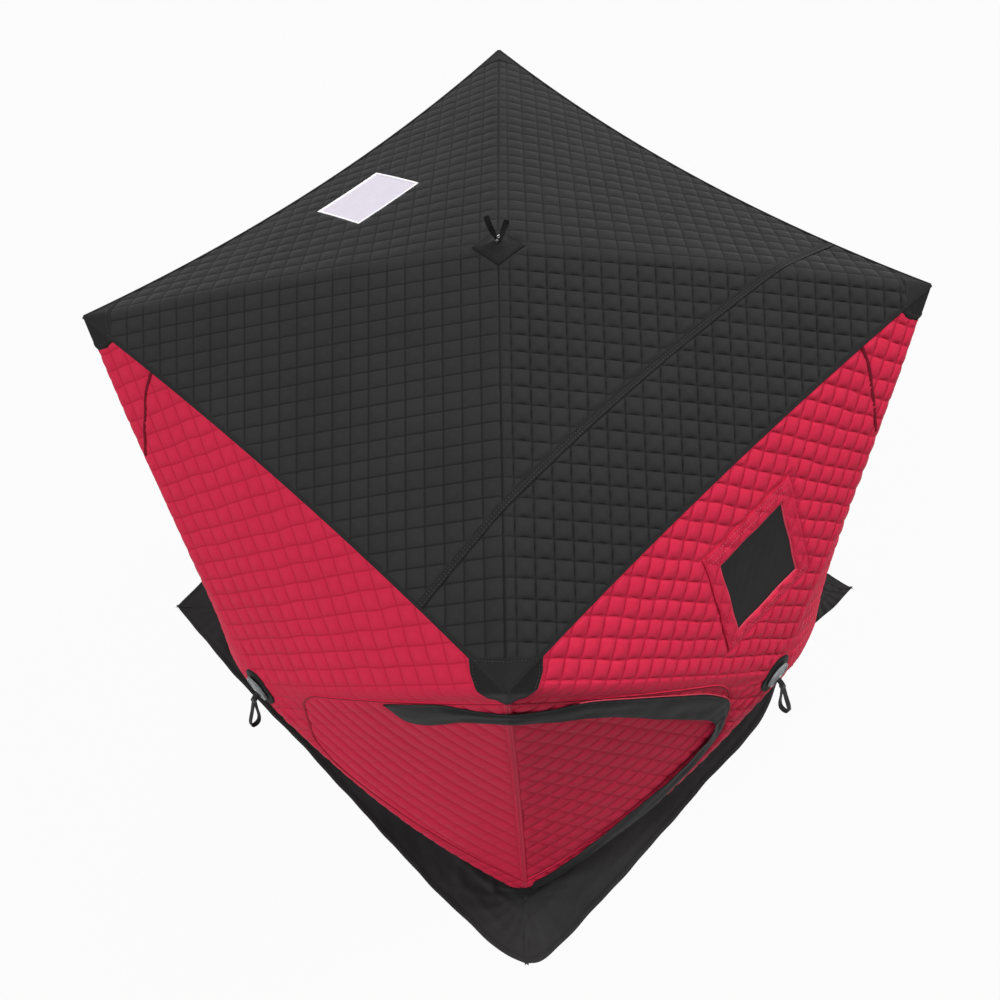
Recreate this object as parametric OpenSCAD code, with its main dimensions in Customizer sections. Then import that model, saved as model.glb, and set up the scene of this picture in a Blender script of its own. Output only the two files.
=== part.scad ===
// Pop-up ice fishing hut: quilted cloth walls and roof held out by five hubs.
// Millimetres. Origin on the ground at the centre of the square base, +Z up.
// The front wall faces -Y, the right wall +X, and the door wraps round the corner between them.

/* [Size] */
// Side of the square base on the ground
base_side = 1800; // [1500:10:2400]
// Side of the square through the eave corners
eave_side = 1820; // [1500:10:2400]
// Height of the eave corners
eave_height = 1817; // [1500:1:2100]
// Height of the roof hub
apex_height = 2048; // [1900:1:2400]
// Distance of each wall hub from the centre
hub_reach = 1196; // [1050:1:1400]
// Height of the wall hubs
hub_height = 942; // [800:1:1100]

/* [Cloth] */
// Thickness of the padded wall and roof cloth
cloth_t = 6; // [3:0.5:12]
// Thickness of a single layer of trim cloth
trim_t = 2; // [1:0.5:3]
// How far the middle of each eave is pulled in
eave_in = 40; // [10:5:100]
// How far the middle of each eave hangs below its corners
eave_down = 42; // [0:2:80]
// How far the middle of each upright corner edge is pulled in
corner_in = 60; // [0:5:100]
// How far the middle of each base edge is pulled in
base_in = 30; // [0:5:60]

/* [Poles] */
// Diameter of the rods
pole_d = 11; // [8:0.5:13]
// Outward bow of the upper wall rods at their middle
upper_bow = 16; // [5:1:50]
// Outward bow of the lower wall rods at their middle
lower_bow = 58; // [5:1:65]
// Upward bow of the roof rods at their middle
roof_bow = 10; // [3:1:40]
// Diameter of a hub's body
hub_d = 76; // [60:1:90]
// Diameter of the plate that shows on a wall hub
plate_d = 96; // [70:1:110]
// Diameter of the button under the roof hub's patch
button_d = 44; // [30:1:60]

/* [Openings] */
// Width of the wall window
wall_window_w = 290; // [200:5:320]
// Lower edge of the wall window, as a share of the way from hub to eave
wall_window_lo = 0.416; // [0.39:0.002:0.45]
// Upper edge of the wall window, as a share of the way from hub to eave
wall_window_hi = 0.726; // [0.6:0.002:0.8]
// Length of the roof window along the eave
roof_window_w = 254; // [160:2:300]
// Upper edge of the roof window, as a share of the way from apex to eave
roof_window_lo = 0.556; // [0.5:0.002:0.65]
// Lower edge of the roof window, as a share of the way from apex to eave
roof_window_hi = 0.809; // [0.7:0.002:0.88]
// Door edge below the upper rods, as a share of the side panel's height
door_top = 0.05; // [0.04:0.01:0.15]
// Door edge above the lower rods, as a share of the side panel's height
door_bottom = 0.93; // [0.85:0.01:0.96]
// Hub end of the door, as a share of the way from hub to corner edge
door_end = 0.235; // [0.15:0.005:0.25]

/* [Pull loops] */
// Width of the webbing
web_w = 18; // [12:1:25]
// Length of a wall hub's pull loop
loop_len = 142; // [90:1:180]
// Width of the hole at the bottom of a pull loop
loop_d = 32; // [24:1:40]
// How far a pull loop leans out from the wall, in degrees
loop_lean = 15; // [5:1:30]

/* [Skirt] */
// Width of the ground skirt at the base corners
skirt_w = 170; // [80:5:250]
// Extra width of the ground skirt at the middle of each side
skirt_belly = 48; // [0:2:80]
// Thickness of the skirt
skirt_t = 3; // [2:0.5:5]

/* [Hidden] */
SIDES = ["front", "right", "back", "left"];
CORNERS = ["front_left", "front_right", "back_right", "back_left"];

cloth_red = "#c93f5a";
cloth_black = "#2f2f30";
plain_black = "#242425";
window_black = "#222223";
clear_film = "#d2cdd7";
rod_grey = "#3c3c3e";
plate_grey = "#7c8284";

half_eave = eave_side / 2;
half_base = base_side / 2;
apex = [0, 0, apex_height];
hub = [0, -hub_reach, hub_height];
// Corners of the front wall, clockwise seen from outside, starting at the upper left
wall_corners = [
    [-half_eave, -half_eave, eave_height], [half_eave, -half_eave, eave_height],
    [half_base, -half_base, 0], [-half_base, -half_base, 0]
];
// Pull of the free edge at the middle of each panel: upper, right, lower and left
edge_pull = [
    [0, eave_in, -eave_down], [-corner_in, corner_in, 0] / sqrt(2),
    [0, base_in, 0], [corner_in, corner_in, 0] / sqrt(2)
];
TOP = 0;
RIGHT = 1;
BOTTOM = 2;
LEFT = 3;

// What a panel has in it
PLAIN = 0;
WINDOW = 1;
DOOR = 2;
DOOR_MIRRORED = 3;
wall_kinds = [
    [PLAIN, DOOR, PLAIN, PLAIN], [WINDOW, PLAIN, PLAIN, DOOR_MIRRORED],
    [PLAIN, PLAIN, PLAIN, PLAIN], [PLAIN, PLAIN, PLAIN, PLAIN]
];
roof_kinds = [PLAIN, PLAIN, PLAIN, WINDOW];

hole_r = 30;            // radius of the hole in the cloth round a hub
patch_r = 72;           // radius of the trim round a wall hub
roof_patch_t = 0.058;   // how far the roof patch reaches down the rods
columns = 8;            // grid columns in a panel
window_columns = [3, 5];
door_columns = [1, 7];
wall_rows = [0, 2, 4, 7, 9];    // grid rows at the hub hole, door end, window edges and free edge
roof_rows = [0, 4, 7, 9];
// How far the door's upper and lower rounded corners reach from its hub end, and up or down it
door_round_t = [0.08, 0.13];
door_round_s = [0.45, 0.5];

shift_height = 950;     // below this height thickness is measured level, above it from the middle
shift_radius = 1060;    // mean distance of the cloth from the middle

lift = 0.8;             // gap between the cloth and trim laid on it
door_inset = 0.3;       // how far the door lies inside the face of the walls
film_inset = 2;         // how far the window sheets lie inside the face of the cloth
frame_w = 48;           // width of the stitched band beside the wall window
frame_t = [0.043, 0.069];   // its reach below and above the window, as a share of the way from hub to eave

seam_x = 575;           // where the roof's cross seam lies
seam_w = 26;
seam_steps = 12;
seam_dip = 0.014;       // how far the seam bends towards the hub between the rods
piping_r = 4;
piping_sides = 6;
piping_steps = 12;
corner_share = 0.075;   // how far an eave corner patch reaches along the eave
patch_ridge_t = 0.934;  // its edges over the ridge rod, over the wall rods and down the corner edge
patch_pole_t = 0.93;
patch_edge_s = 0.05;
base_patch_s = 0.035;   // reach of a base patch along the base and along the rods
base_patch_t = 0.95;

// The flap over the door's zip runs from its loose tip on the front wall round the corner, along the
// upper edge of the right half, round the hub end and down to the base corner
flap_tip_t = 0.594;
flap_end_t = 0.066;     // its width at the hub end
flap_edge_s = [0.055, 0.975];   // its outer edge below the upper rod and above the lower rod
flap_foot_t = 0.975;
flap_steps = 8;
// Upper edge of the flap and its width, both as shares of the panel's height, from the tip to the corner edge
flap_upper = [0.062, 0.046, 0.06, 0.088];
flap_width = [0.004, 0.1, 0.07, 0.04];
// Width from the corner edge to the hub end, and along the lower edge to the base corner
flap_width_right = [0.04, 0.07, 0.08, 0.12];
flap_width_lower = [0.16, 0.13, 0.12, 0.06, 0.02];

pole_inset = cloth_t + pole_d / 2 + 1;
socket_reach = 30;      // rods start this far from a hub's middle
wall_rod_end = 0.985;   // and stop at this share of the way to the corner, this much further in
wall_rod_inset = 4;
roof_rod_end = 0.98;
roof_rod_inset = 10;
hub_h = 26;
hub_neck_d = 42;
plate_h = 5;
button_h = 3;
web_t = 2.5;
loop_steps = 20;
neck_run = [24, -20];   // how far the neck of a pull loop runs out and down before the loop hangs
neck_drop = 24;         // the neck starts this far below the middle of the plate
strap_lengths = [115, 95];  // the two ends of the roof hub's strap, and how far they lean apart
strap_leans = [-18, 20];
skirt_gap = 1;          // gap between the skirt's strips at the corners, and to the walls

// ---- points on the cloth ----

function mix(a, b, f) = a + (b - a) * f;
function turn(p, times) = times == 0 ? p : turn([-p.y, p.x, p.z], times - 1);
function pole_point(from, to, t, bow) = mix(from, to, t) + 4 * t * (1 - t) * bow;
// The outward bow of the front wall's rod to corner k
function rod_bow(k) = [0, k < 2 ? -upper_bow : -lower_bow, 0];

// The point of the front wall in a panel: s runs clockwise, t from the hub to the free edge
function wall_point(panel, s, t) =
    let (k = panel, m = (panel + 1) % 4)
    mix(pole_point(hub, wall_corners[k], t, rod_bow(k)),
        pole_point(hub, wall_corners[m], t, rod_bow(m)), s)
    + 4 * s * (1 - s) * t * t * edge_pull[panel];
// How far out a point lies in a panel when it is r from the hub
function ring_t(panel, s, r) = r / norm(wall_point(panel, s, 1) - hub);

// The point of the roof in a side's panel: s runs anticlockwise seen from above
function roof_point(side, s, t) =
    let (bow = [0, 0, roof_bow])
    turn(mix(pole_point(apex, wall_corners[0], t, bow), pole_point(apex, wall_corners[1], t, bow), s)
        + 4 * s * (1 - s) * t * t * edge_pull[TOP], side);

// A point moved out by d, or in where d is negative, so that neighbouring panels meet in a mitre
function shift(p, d) =
    let (k = 1 + d / shift_radius)
    [p.x * k, p.y * k, p.z > shift_height ? shift_height + (p.z - shift_height) * k : p.z];
function shifted(grid, d) = [for (row = grid) [for (p = row) shift(p, d)]];

// ---- grids that keep to the openings ----

function between(x, xs, ys, i = 0) =
    x <= xs[i + 1] || i + 2 == len(xs)
        ? mix(ys[i], ys[i + 1], (x - xs[i]) / (xs[i + 1] - xs[i]))
        : between(x, xs, ys, i + 1);

// Where column c lies across a panel, at the share t of the way out
function column_s(c, t, kind, width, lo, hi) =
    kind == WINDOW ? let (w = width / (4 * half_eave * max(lo, min(hi, t))))
        between(c, [0, window_columns[0], window_columns[1], columns], [0, 0.5 - w, 0.5 + w, 1])
    : kind == DOOR ? between(c, [0, door_columns[0], door_columns[1], columns], [0, door_top, door_bottom, 1])
    : kind == DOOR_MIRRORED ? 1 - column_s(columns - c, t, DOOR, width, lo, hi)
    : c / columns;

// The door's hub end, rounded towards the rods
function door_end_t(s) =
    let (middle = (door_top + door_bottom) / 2, half = (door_bottom - door_top) / 2,
         k = s < middle ? 0 : 1, u = abs(s - middle) / half, v = (u - 1 + door_round_s[k]) / door_round_s[k])
    u >= 1 ? door_end + door_round_t[k] * (k == 0 ? s / door_top : (1 - s) / (1 - door_bottom))
    : v <= 0 ? door_end
    : door_end + door_round_t[k] * (1 - sqrt(1 - v * v));

function wall_row_t(r, c, panel, kind) =
    let (s = kind == DOOR ? column_s(c, 0, DOOR) : kind == DOOR_MIRRORED ? 1 - column_s(c, 0, kind) : 0,
         start = ring_t(panel, kind == DOOR_MIRRORED ? 1 - s : kind == DOOR ? s : c / columns, hole_r))
    between(r, wall_rows, [start, door_end_t(s), wall_window_lo, wall_window_hi, 1]);
function roof_row_t(r) =
    between(r, roof_rows, [hole_r / norm(wall_corners[0] - apex), roof_window_lo, roof_window_hi, 1]);

function wall_grid_point(r, c, panel, kind) =
    let (t = wall_row_t(r, c, panel, kind))
    wall_point(panel, column_s(c, t, kind, wall_window_w, wall_window_lo, wall_window_hi), t);
function roof_grid_point(r, c, side) =
    let (t = roof_row_t(r))
    roof_point(side, column_s(c, t, roof_kinds[side], roof_window_w, roof_window_lo, roof_window_hi), t);

function is_open(r, c, kind, window_rows, door_row) =
    kind == WINDOW ? r >= window_rows[0] && r < window_rows[1]
        && c >= window_columns[0] && c < window_columns[1]
    : kind == DOOR || kind == DOOR_MIRRORED ? r >= door_row && c >= door_columns[0] && c < door_columns[1]
    : false;

// ---- solids from grids ----

// The closed solid between two grids. keep says which cells are cloth;
// wrap joins the last column to the first.
module shell(outer, inner, keep, wrap = false) {
    rows = len(outer);
    cols = len(outer[0]);
    count = rows * cols;
    last = wrap ? cols - 1 : cols - 2;
    function at(i, j) = i * cols + (j % cols);
    function kept(i, j) =
        let (k = wrap ? (j + cols) % cols : j)
        i >= 0 && i <= rows - 2 && k >= 0 && k <= last && keep[i][k];
    function quad(a, b, c, d) = [[a, b, c], [a, c, d]];
    faces = [
        for (i = [0:rows - 2]) for (j = [0:last]) if (kept(i, j))
            let (a = at(i, j), b = at(i, j + 1), c = at(i + 1, j + 1), d = at(i + 1, j))
            each concat(
                quad(a, d, c, b),
                quad(a + count, b + count, c + count, d + count),
                kept(i - 1, j) ? [] : quad(a, b, b + count, a + count),
                kept(i + 1, j) ? [] : quad(c, d, d + count, c + count),
                kept(i, j - 1) ? [] : quad(d, a, a + count, d + count),
                kept(i, j + 1) ? [] : quad(b, c, c + count, b + count))
    ];
    polyhedron(points = concat([for (row = outer) each row], [for (row = inner) each row]), faces = faces);
}

function all_kept(grid) = [for (row = grid) [for (p = row) true]];

// Trim of one layer laid on the cloth along a grid
module laid_on(grid, wrap = false) {
    shell(shifted(grid, lift + trim_t), shifted(grid, lift), all_kept(grid), wrap);
}

// A cap of trim over a corner: a fan from its middle point to a rim
module cap(middle, rim, closed = true) {
    n = len(rim);
    last = closed ? n - 1 : n - 2;
    outer = [for (p = concat([middle], rim)) shift(p, lift + trim_t)];
    inner = [for (p = concat([middle], rim)) shift(p, lift)];
    m = n + 1;
    function at(i) = 1 + i % n;
    fans = [for (i = [0:last]) each [
        [0, at(i), at(i + 1)], [m, m + at(i + 1), m + at(i)],
        [at(i), m + at(i), m + at(i + 1)], [at(i), m + at(i + 1), at(i + 1)]
    ]];
    ends = closed ? [] : [
        [0, m, m + 1], [0, m + 1, 1],
        [0, n, m + n], [0, m + n, m]
    ];
    polyhedron(points = concat(outer, inner), faces = concat(fans, ends));
}

// A rod bowed into an arc of a circle between two points
module bowed_rod(from, to, bow, r) {
    chord = to - from;
    side = chord / norm(chord);
    level = bow - side * (bow * side);
    h = norm(level);
    out = level / h;
    radius = (chord * chord / 4 + h * h) / (2 * h);
    centre = (from + to) / 2 - out * (radius - h);
    half = asin(norm(chord) / 2 / radius);
    axis = cross(out, side);
    multmatrix([
        [out.x, side.x, axis.x, centre.x],
        [out.y, side.y, axis.y, centre.y],
        [out.z, side.z, axis.z, centre.z],
        [0, 0, 0, 1]
    ])
        rotate([0, 0, -half])
            rotate_extrude(angle = 2 * half, $fn = 360)
                translate([radius, 0]) circle(r = r, $fn = 24);
}

// ---- cloth panels ----

module wall(w) {
    kinds = wall_kinds[w];
    grid = [for (r = [0:wall_rows[4]]) [for (panel = [0:3]) for (c = [0:columns - 1])
        turn(wall_grid_point(r, c, panel, kinds[panel]), w)]];
    keep = [for (r = [0:wall_rows[4]]) [for (panel = [0:3]) for (c = [0:columns - 1])
        !is_open(r, c, kinds[panel], [wall_rows[2], wall_rows[3]], wall_rows[1])]];
    color(cloth_red) shell(grid, shifted(grid, -cloth_t), keep, wrap = true);
}

module roof_canopy() {
    grid = [for (r = [0:roof_rows[3]]) [for (side = [3:-1:0]) for (c = [columns:-1:1])
        roof_grid_point(r, c, side)]];
    keep = [for (r = [0:roof_rows[3]]) [for (side = [3:-1:0]) for (c = [columns - 1:-1:0])
        !is_open(r, c, roof_kinds[side], [roof_rows[1], roof_rows[2]], 0)]];
    color(cloth_black) shell(grid, shifted(grid, -cloth_t), keep, wrap = true);
}

// The door: half on the front wall and half on the right wall, joined at the corner edge
function mirrored(p) = [-p.y, -p.x, p.z];
function door_half(c) = [for (r = [wall_rows[1]:wall_rows[4]]) wall_grid_point(r, c, RIGHT, DOOR)];
function reversed(list) = [for (i = [len(list) - 1:-1:0]) list[i]];
function door_grid() = [for (c = [door_columns[1]:-1:door_columns[0]])
    let (half = door_half(c))
    concat(half, [for (i = [len(half) - 2:-1:0]) mirrored(half[i])])];

module corner_door() {
    grid = door_grid();
    color(cloth_red) shell(shifted(grid, -door_inset), shifted(grid, -cloth_t), all_kept(grid));
}

// ---- windows ----

module wall_window() {
    grid = [for (r = [wall_rows[2]:wall_rows[3]]) [for (c = [window_columns[0]:window_columns[1]])
        turn(wall_grid_point(r, c, TOP, WINDOW), RIGHT)]];
    color(window_black)
        shell(shifted(grid, -film_inset), shifted(grid, -film_inset - trim_t), all_kept(grid));
}

function wall_place(x, t) = turn(wall_point(TOP, 0.5 + x / (2 * half_eave * t), t), RIGHT);

module wall_window_frame() {
    reach = wall_window_w / 2;
    xs = [-reach - frame_w, -reach, 0, reach, reach + frame_w];
    ts = [wall_window_lo - frame_t[0], wall_window_lo, mix(wall_window_lo, wall_window_hi, 0.5),
        wall_window_hi, wall_window_hi + frame_t[1]];
    grid = [for (t = ts) [for (x = xs) wall_place(x, t)]];
    keep = [for (i = [0:4]) [for (j = [0:4]) i == 0 || i == 3 || j == 0 || j == 3]];
    color(cloth_red) shell(shifted(grid, lift + trim_t), shifted(grid, lift), keep);
}

module roof_window() {
    grid = [for (r = [roof_rows[1]:roof_rows[2]]) [for (c = [window_columns[1]:-1:window_columns[0]])
        roof_grid_point(r, c, LEFT)]];
    color(clear_film) shell(shifted(grid, -film_inset), shifted(grid, -film_inset - trim_t), all_kept(grid));
}

// ---- trim ----

// One line of the cross seam at x: over the front panel, the right panel and the back panel
function seam_line(x) =
    let (ridge_t = x / half_eave)
    concat(
        [for (i = [0:seam_steps - 1]) let (t = mix(1, ridge_t, i / seam_steps))
            roof_point(0, (x / (half_eave * t) + 1) / 2, t)],
        [for (i = [0:seam_steps]) let (s = i / seam_steps)
            roof_point(1, s, ridge_t - seam_dip * 4 * s * (1 - s))],
        [for (i = [seam_steps - 1:-1:0]) let (t = mix(1, ridge_t, i / seam_steps))
            roof_point(2, (1 - x / (half_eave * t)) / 2, t)]);

module roof_seam() {
    color(plain_black) laid_on([seam_line(seam_x - seam_w / 2), seam_line(seam_x + seam_w / 2)]);
}

module eave_piping() {
    color(plain_black) for (side = [0:3]) {
        path = [for (i = [0:piping_steps])
            shift(roof_point(side, mix(corner_share, 1 - corner_share, i / piping_steps), 1), piping_r)];
        out = turn([0, -1, 0], side);
        rings = [for (p = path) [for (k = [0:piping_sides - 1])
            let (angle = 360 * k / piping_sides)
            p + piping_r * (cos(angle) * out + sin(angle) * [0, 0, 1])]];
        swept(rings);
    }
}

// A closed tube through rings of points
module swept(rings) {
    n = len(rings[0]);
    m = len(rings);
    sides = [for (i = [0:m - 2]) for (k = [0:n - 1])
        let (a = i * n + k, b = i * n + (k + 1) % n)
        each [[a, b, b + n], [a, b + n, a + n]]];
    ends = [[for (k = [n - 1:-1:0]) k], [for (k = [0:n - 1]) (m - 1) * n + k]];
    polyhedron(points = [for (ring = rings) each ring], faces = concat(sides, ends));
}

// Corner k joins wall k - 1 and wall k; its rim runs over the roof and both walls
function eave_rim(k) =
    let (before = (k + 3) % 4)
    [
        roof_point(before, 1 - corner_share, 1), roof_point(k, 0, patch_ridge_t),
        roof_point(k, corner_share, 1), turn(wall_point(TOP, 0, patch_pole_t), k),
        turn(wall_point(LEFT, 1 - patch_edge_s, 1), k), turn(wall_point(TOP, 1, patch_pole_t), before)
    ];

module eave_patch(k) {
    color(plain_black) cap(roof_point(k, 0, 1), eave_rim(k));
}

function base_rim(k) =
    let (before = (k + 3) % 4)
    [
        turn(wall_point(BOTTOM, base_patch_s, 1), before), turn(wall_point(BOTTOM, 0, base_patch_t), before),
        turn(wall_point(LEFT, base_patch_s, 1), k),
        turn(wall_point(BOTTOM, 1, base_patch_t), k), turn(wall_point(BOTTOM, 1 - base_patch_s, 1), k)
    ];

module base_patch(k) {
    color(plain_black) cap(turn(wall_corners[3], k), reversed(base_rim(k)), closed = false);
}

module roof_patch() {
    rim = [for (side = [0:3]) each [roof_point(side, 0, roof_patch_t), roof_point(side, 0.5, roof_patch_t)]];
    color(plain_black) cap(apex, reversed(rim));
}

module hub_patch(w) {
    grid = [for (r = [hole_r + 5, patch_r]) [for (panel = [0:3]) for (c = [0:columns - 1])
        let (s = c / columns)
        turn(wall_point(panel, s, ring_t(panel, s, r)), w)]];
    color(plain_black) laid_on(grid, wrap = true);
}

function door_point(on_right, s, t) =
    let (p = wall_point(RIGHT, s, t)) on_right ? mirrored(p) : p;
// The value at the share f of the way along a list
function along(list, f) =
    let (n = len(list) - 1, k = min(n - 1, floor(f * n))) mix(list[k], list[k + 1], f * n - k);

function flap_line(across) =
    let (upper = flap_edge_s[0], lower = flap_edge_s[1], corner_t = door_end + door_round_t[0],
         heel_t = door_end + door_round_t[1])
    concat(
        [for (i = [0:flap_steps - 1]) let (f = i / flap_steps)
            door_point(false, along(flap_upper, f) + across * along(flap_width, f),
                mix(flap_tip_t, 1, f))],
        [for (i = [0:flap_steps - 1]) let (f = i / flap_steps)
            door_point(true,
                mix(along(flap_upper, 1), upper, min(1, 2 * f)) + across * along(flap_width_right, f),
                mix(1, corner_t, f) + across * flap_end_t * f)],
        [for (i = [0:flap_steps]) let (f = i / flap_steps)
            door_point(true,
                mix(mix(upper, lower, f),
                    mix(upper + flap_width_right[3], lower - flap_width_lower[0], f), across),
                door_end_t(mix(door_top, door_bottom, f)) + across * flap_end_t)],
        [for (i = [1:flap_steps]) let (f = i / flap_steps)
            door_point(true, lower - across * along(flap_width_lower, f),
                mix(heel_t, flap_foot_t, f) + across * flap_end_t * (1 - f))]);

module door_flap() {
    color(plain_black) laid_on([flap_line(1), flap_line(0.5), flap_line(0)]);
}

// ---- poles and hubs ----

module wall_poles(w) {
    color(rod_grey) rotate([0, 0, 90 * w]) for (k = [0:3]) {
        from = shift(hub, -pole_inset);
        to = shift(wall_corners[k], -pole_inset - wall_rod_inset);
        reach = socket_reach / norm(to - from);
        bowed_rod(mix(from, to, reach), mix(from, to, wall_rod_end), rod_bow(k), pole_d / 2);
    }
}

module roof_poles() {
    color(rod_grey) for (k = [0:3]) rotate([0, 0, 90 * k]) {
        from = shift(apex, -pole_inset);
        to = shift(wall_corners[0], -pole_inset - roof_rod_inset);
        reach = socket_reach / norm(to - from);
        bowed_rod(mix(from, to, reach), mix(from, to, roof_rod_end), [0, 0, roof_bow], pole_d / 2);
    }
}

// A hub at the origin with its outer face at +Z: body, neck and a plate outside the cloth
module hub_body(outer_d, outer_h) {
    translate([0, 0, -cloth_t - hub_h]) cylinder(d = hub_d, h = hub_h, $fn = 64);
    translate([0, 0, -cloth_t]) cylinder(d = hub_neck_d, h = cloth_t, $fn = 64);
    cylinder(d = outer_d, h = outer_h, $fn = 64);
}

module wall_hub(w) {
    color(plate_grey) rotate([0, 0, 90 * w]) translate(hub) rotate([90, 0, 0]) hub_body(plate_d, plate_h);
}

module roof_hub() {
    color(plate_grey) translate(apex) hub_body(button_d, button_h);
}

// ---- pull loops ----

// A point of the hanging loop, given along and below the end of its neck
function hang(p) = neck_run
    + [p.x * cos(loop_lean) - p.y * sin(loop_lean), p.x * sin(loop_lean) + p.y * cos(loop_lean)];
// The lower half of a loop of radius r, from its near side to its far side
function loop_bottom(r) = [for (i = [loop_steps:-1:0])
    hang([0, loop_d / 2 - loop_len] + r * [cos(180 * i / loop_steps), -sin(180 * i / loop_steps)])];

// A pull loop in section: its neck starts at the origin and runs out along +X, and the loop hangs from it
module loop_section() {
    difference() {
        polygon(concat([[0, web_t], [0, -web_t], hang([-web_t, 0])], loop_bottom(loop_d / 2 + web_t),
            [hang([web_t, 0]), hang([web_t, 2 * web_t])]));
        polygon(concat([hang([0, -web_t])], loop_bottom(loop_d / 2)));
    }
}

module pull_loop(w) {
    color(plain_black) rotate([0, 0, 90 * w]) translate(hub + [0, -plate_h, -neck_drop])
        rotate([90, 0, -90]) linear_extrude(web_w, center = true) loop_section();
}

// The strap of the roof hub: two flat ends that stand up apart from one root
module roof_strap() {
    color(plain_black) translate(apex + [0, 0, button_h]) rotate([90, 0, 45])
        linear_extrude(2 * web_t, center = true) for (k = [0:1])
            rotate(-strap_leans[k]) translate([-web_w / 2, 0]) square([web_w, strap_lengths[k]]);
}

// ---- skirt ----

module skirt(w) {
    corner = half_base + skirt_w;
    inner = [for (c = [columns:-1:0]) let (p = wall_point(BOTTOM, c / columns, 1)) [p.x, p.y]];
    outer = [for (i = [0:columns]) let (f = i / columns)
        [mix(corner, -corner, f) * (1 - skirt_gap / corner), -corner - skirt_belly * sin(180 * f)]];
    color(plain_black) rotate([0, 0, 90 * w])
        linear_extrude(skirt_t) polygon(concat(
            [for (p = inner) [p.x * (1 - skirt_gap / half_base), p.y]], outer));
}

// ---- sub-parts ----

roof_canopy();
roof_window();
roof_seam();
eave_piping();
corner_door();
door_flap();
wall_window();
wall_window_frame();
roof_patch();
roof_poles();
roof_hub();
roof_strap();
for (w = [0:3]) {
    wall(w);
    wall_poles(w);
    wall_hub(w);
    hub_patch(w);
    pull_loop(w);
    skirt(w);
    eave_patch(w);
    base_patch(w);
}
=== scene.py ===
"""Looks of the pop-up ice fishing hut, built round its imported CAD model.

Metres, +Z up, the front wall towards -Y. Each cloth is a surface of two square coordinates, p and q, from -1 to 1.
"""

from math import cos, pi, radians, sin, sqrt, tau

import bmesh
import bpy
import numpy as np
from mathutils import Matrix, Vector
from mathutils.geometry import delaunay_2d_cdt
from mathutils.kdtree import KDTree


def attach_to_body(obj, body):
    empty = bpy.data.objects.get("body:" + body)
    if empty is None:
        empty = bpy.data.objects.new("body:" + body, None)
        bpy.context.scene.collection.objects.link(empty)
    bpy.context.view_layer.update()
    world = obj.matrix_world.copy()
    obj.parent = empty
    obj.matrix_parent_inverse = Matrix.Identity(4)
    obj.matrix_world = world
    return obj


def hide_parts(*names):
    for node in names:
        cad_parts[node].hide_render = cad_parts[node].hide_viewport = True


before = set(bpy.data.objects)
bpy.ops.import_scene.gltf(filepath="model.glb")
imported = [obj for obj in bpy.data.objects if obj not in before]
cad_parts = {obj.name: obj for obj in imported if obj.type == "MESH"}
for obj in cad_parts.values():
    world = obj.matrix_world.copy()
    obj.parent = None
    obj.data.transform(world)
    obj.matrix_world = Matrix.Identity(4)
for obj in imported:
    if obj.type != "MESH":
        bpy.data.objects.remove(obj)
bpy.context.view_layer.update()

SIDES = ["front", "right", "back", "left"]
CORNERS = ["front_left", "front_right", "back_right", "back_left"]
ROOT_2 = sqrt(2)

# ---- the surfaces of the CAD model ----

HALF_EAVE, HALF_BASE, EAVE_Z = 0.91, 0.9, 1.817
HUB = np.array([0, -1.196, 0.942])
APEX = np.array([0, 0, 2.048])
WALL_CORNERS = np.array(
    [
        [-HALF_EAVE, -HALF_EAVE, EAVE_Z],
        [HALF_EAVE, -HALF_EAVE, EAVE_Z],
        [HALF_BASE, -HALF_BASE, 0],
        [-HALF_BASE, -HALF_BASE, 0],
    ]
)
WALL_BOWS = np.array([[0, -0.016, 0]] * 2 + [[0, -0.058, 0]] * 2)
ROOF_BOW = np.array([0, 0, 0.010])
CORNER_PULL = 0.060 / ROOT_2
EDGE_PULLS = np.array(
    [[0, 0.040, -0.042], [-CORNER_PULL, CORNER_PULL, 0], [0, 0.030, 0], [CORNER_PULL, CORNER_PULL, 0]]
)
DOOR_TOP, DOOR_BOTTOM, DOOR_END = 0.05, 0.93, 0.235
DOOR_ROUND_T, DOOR_ROUND_S = (0.08, 0.13), (0.45, 0.5)
WALL_WINDOW = (-0.145 / HALF_EAVE, 0.145 / HALF_EAVE, 0.416, 0.726)
ROOF_WINDOW = (-0.809, -0.556, -0.127 / HALF_EAVE, 0.127 / HALF_EAVE)
CLOTH_T = 0.006
HUB_HOLE = 0.033
SEAM_P = 0.575 / HALF_EAVE
SHELL_R, SHELL_Z = 1.060, 0.950  # the radius and height that the CAD model's cloth thickness is scaled about
MIDDLE = np.array([0, 0, 0.9])


def turned(points, times):
    """Points turned by quarter turns about +Z."""
    for _ in range(times % 4):
        points = np.stack([-points[..., 1], points[..., 0], points[..., 2]], -1)
    return points


def panel_points(centre, corner_a, corner_b, bow_a, bow_b, pull, s, t):
    s, t = s[..., None], t[..., None]
    rod_a = centre + (corner_a - centre) * t + 4 * t * (1 - t) * bow_a
    rod_b = centre + (corner_b - centre) * t + 4 * t * (1 - t) * bow_b
    return rod_a * (1 - s) + rod_b * s + 4 * s * (1 - s) * t * t * pull


def front_wall(p, q):
    """The front wall at square coordinates: p to the right and q up as seen from outside, -1 to 1, hub at 0."""
    t = np.maximum(np.maximum(abs(p), abs(q)), 1e-9)
    out = np.zeros(p.shape + (3,))
    cases = [(p, q >= abs(p)), (-q, p > abs(q)), (-p, -q >= abs(p)), (q, -p > abs(q))]
    for k, (along, here) in enumerate(cases):
        m = (k + 1) % 4
        s = (along[here] / t[here] + 1) / 2
        out[here] = panel_points(
            HUB, WALL_CORNERS[k], WALL_CORNERS[m], WALL_BOWS[k], WALL_BOWS[m], EDGE_PULLS[k], s, t[here]
        )
    return out


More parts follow.
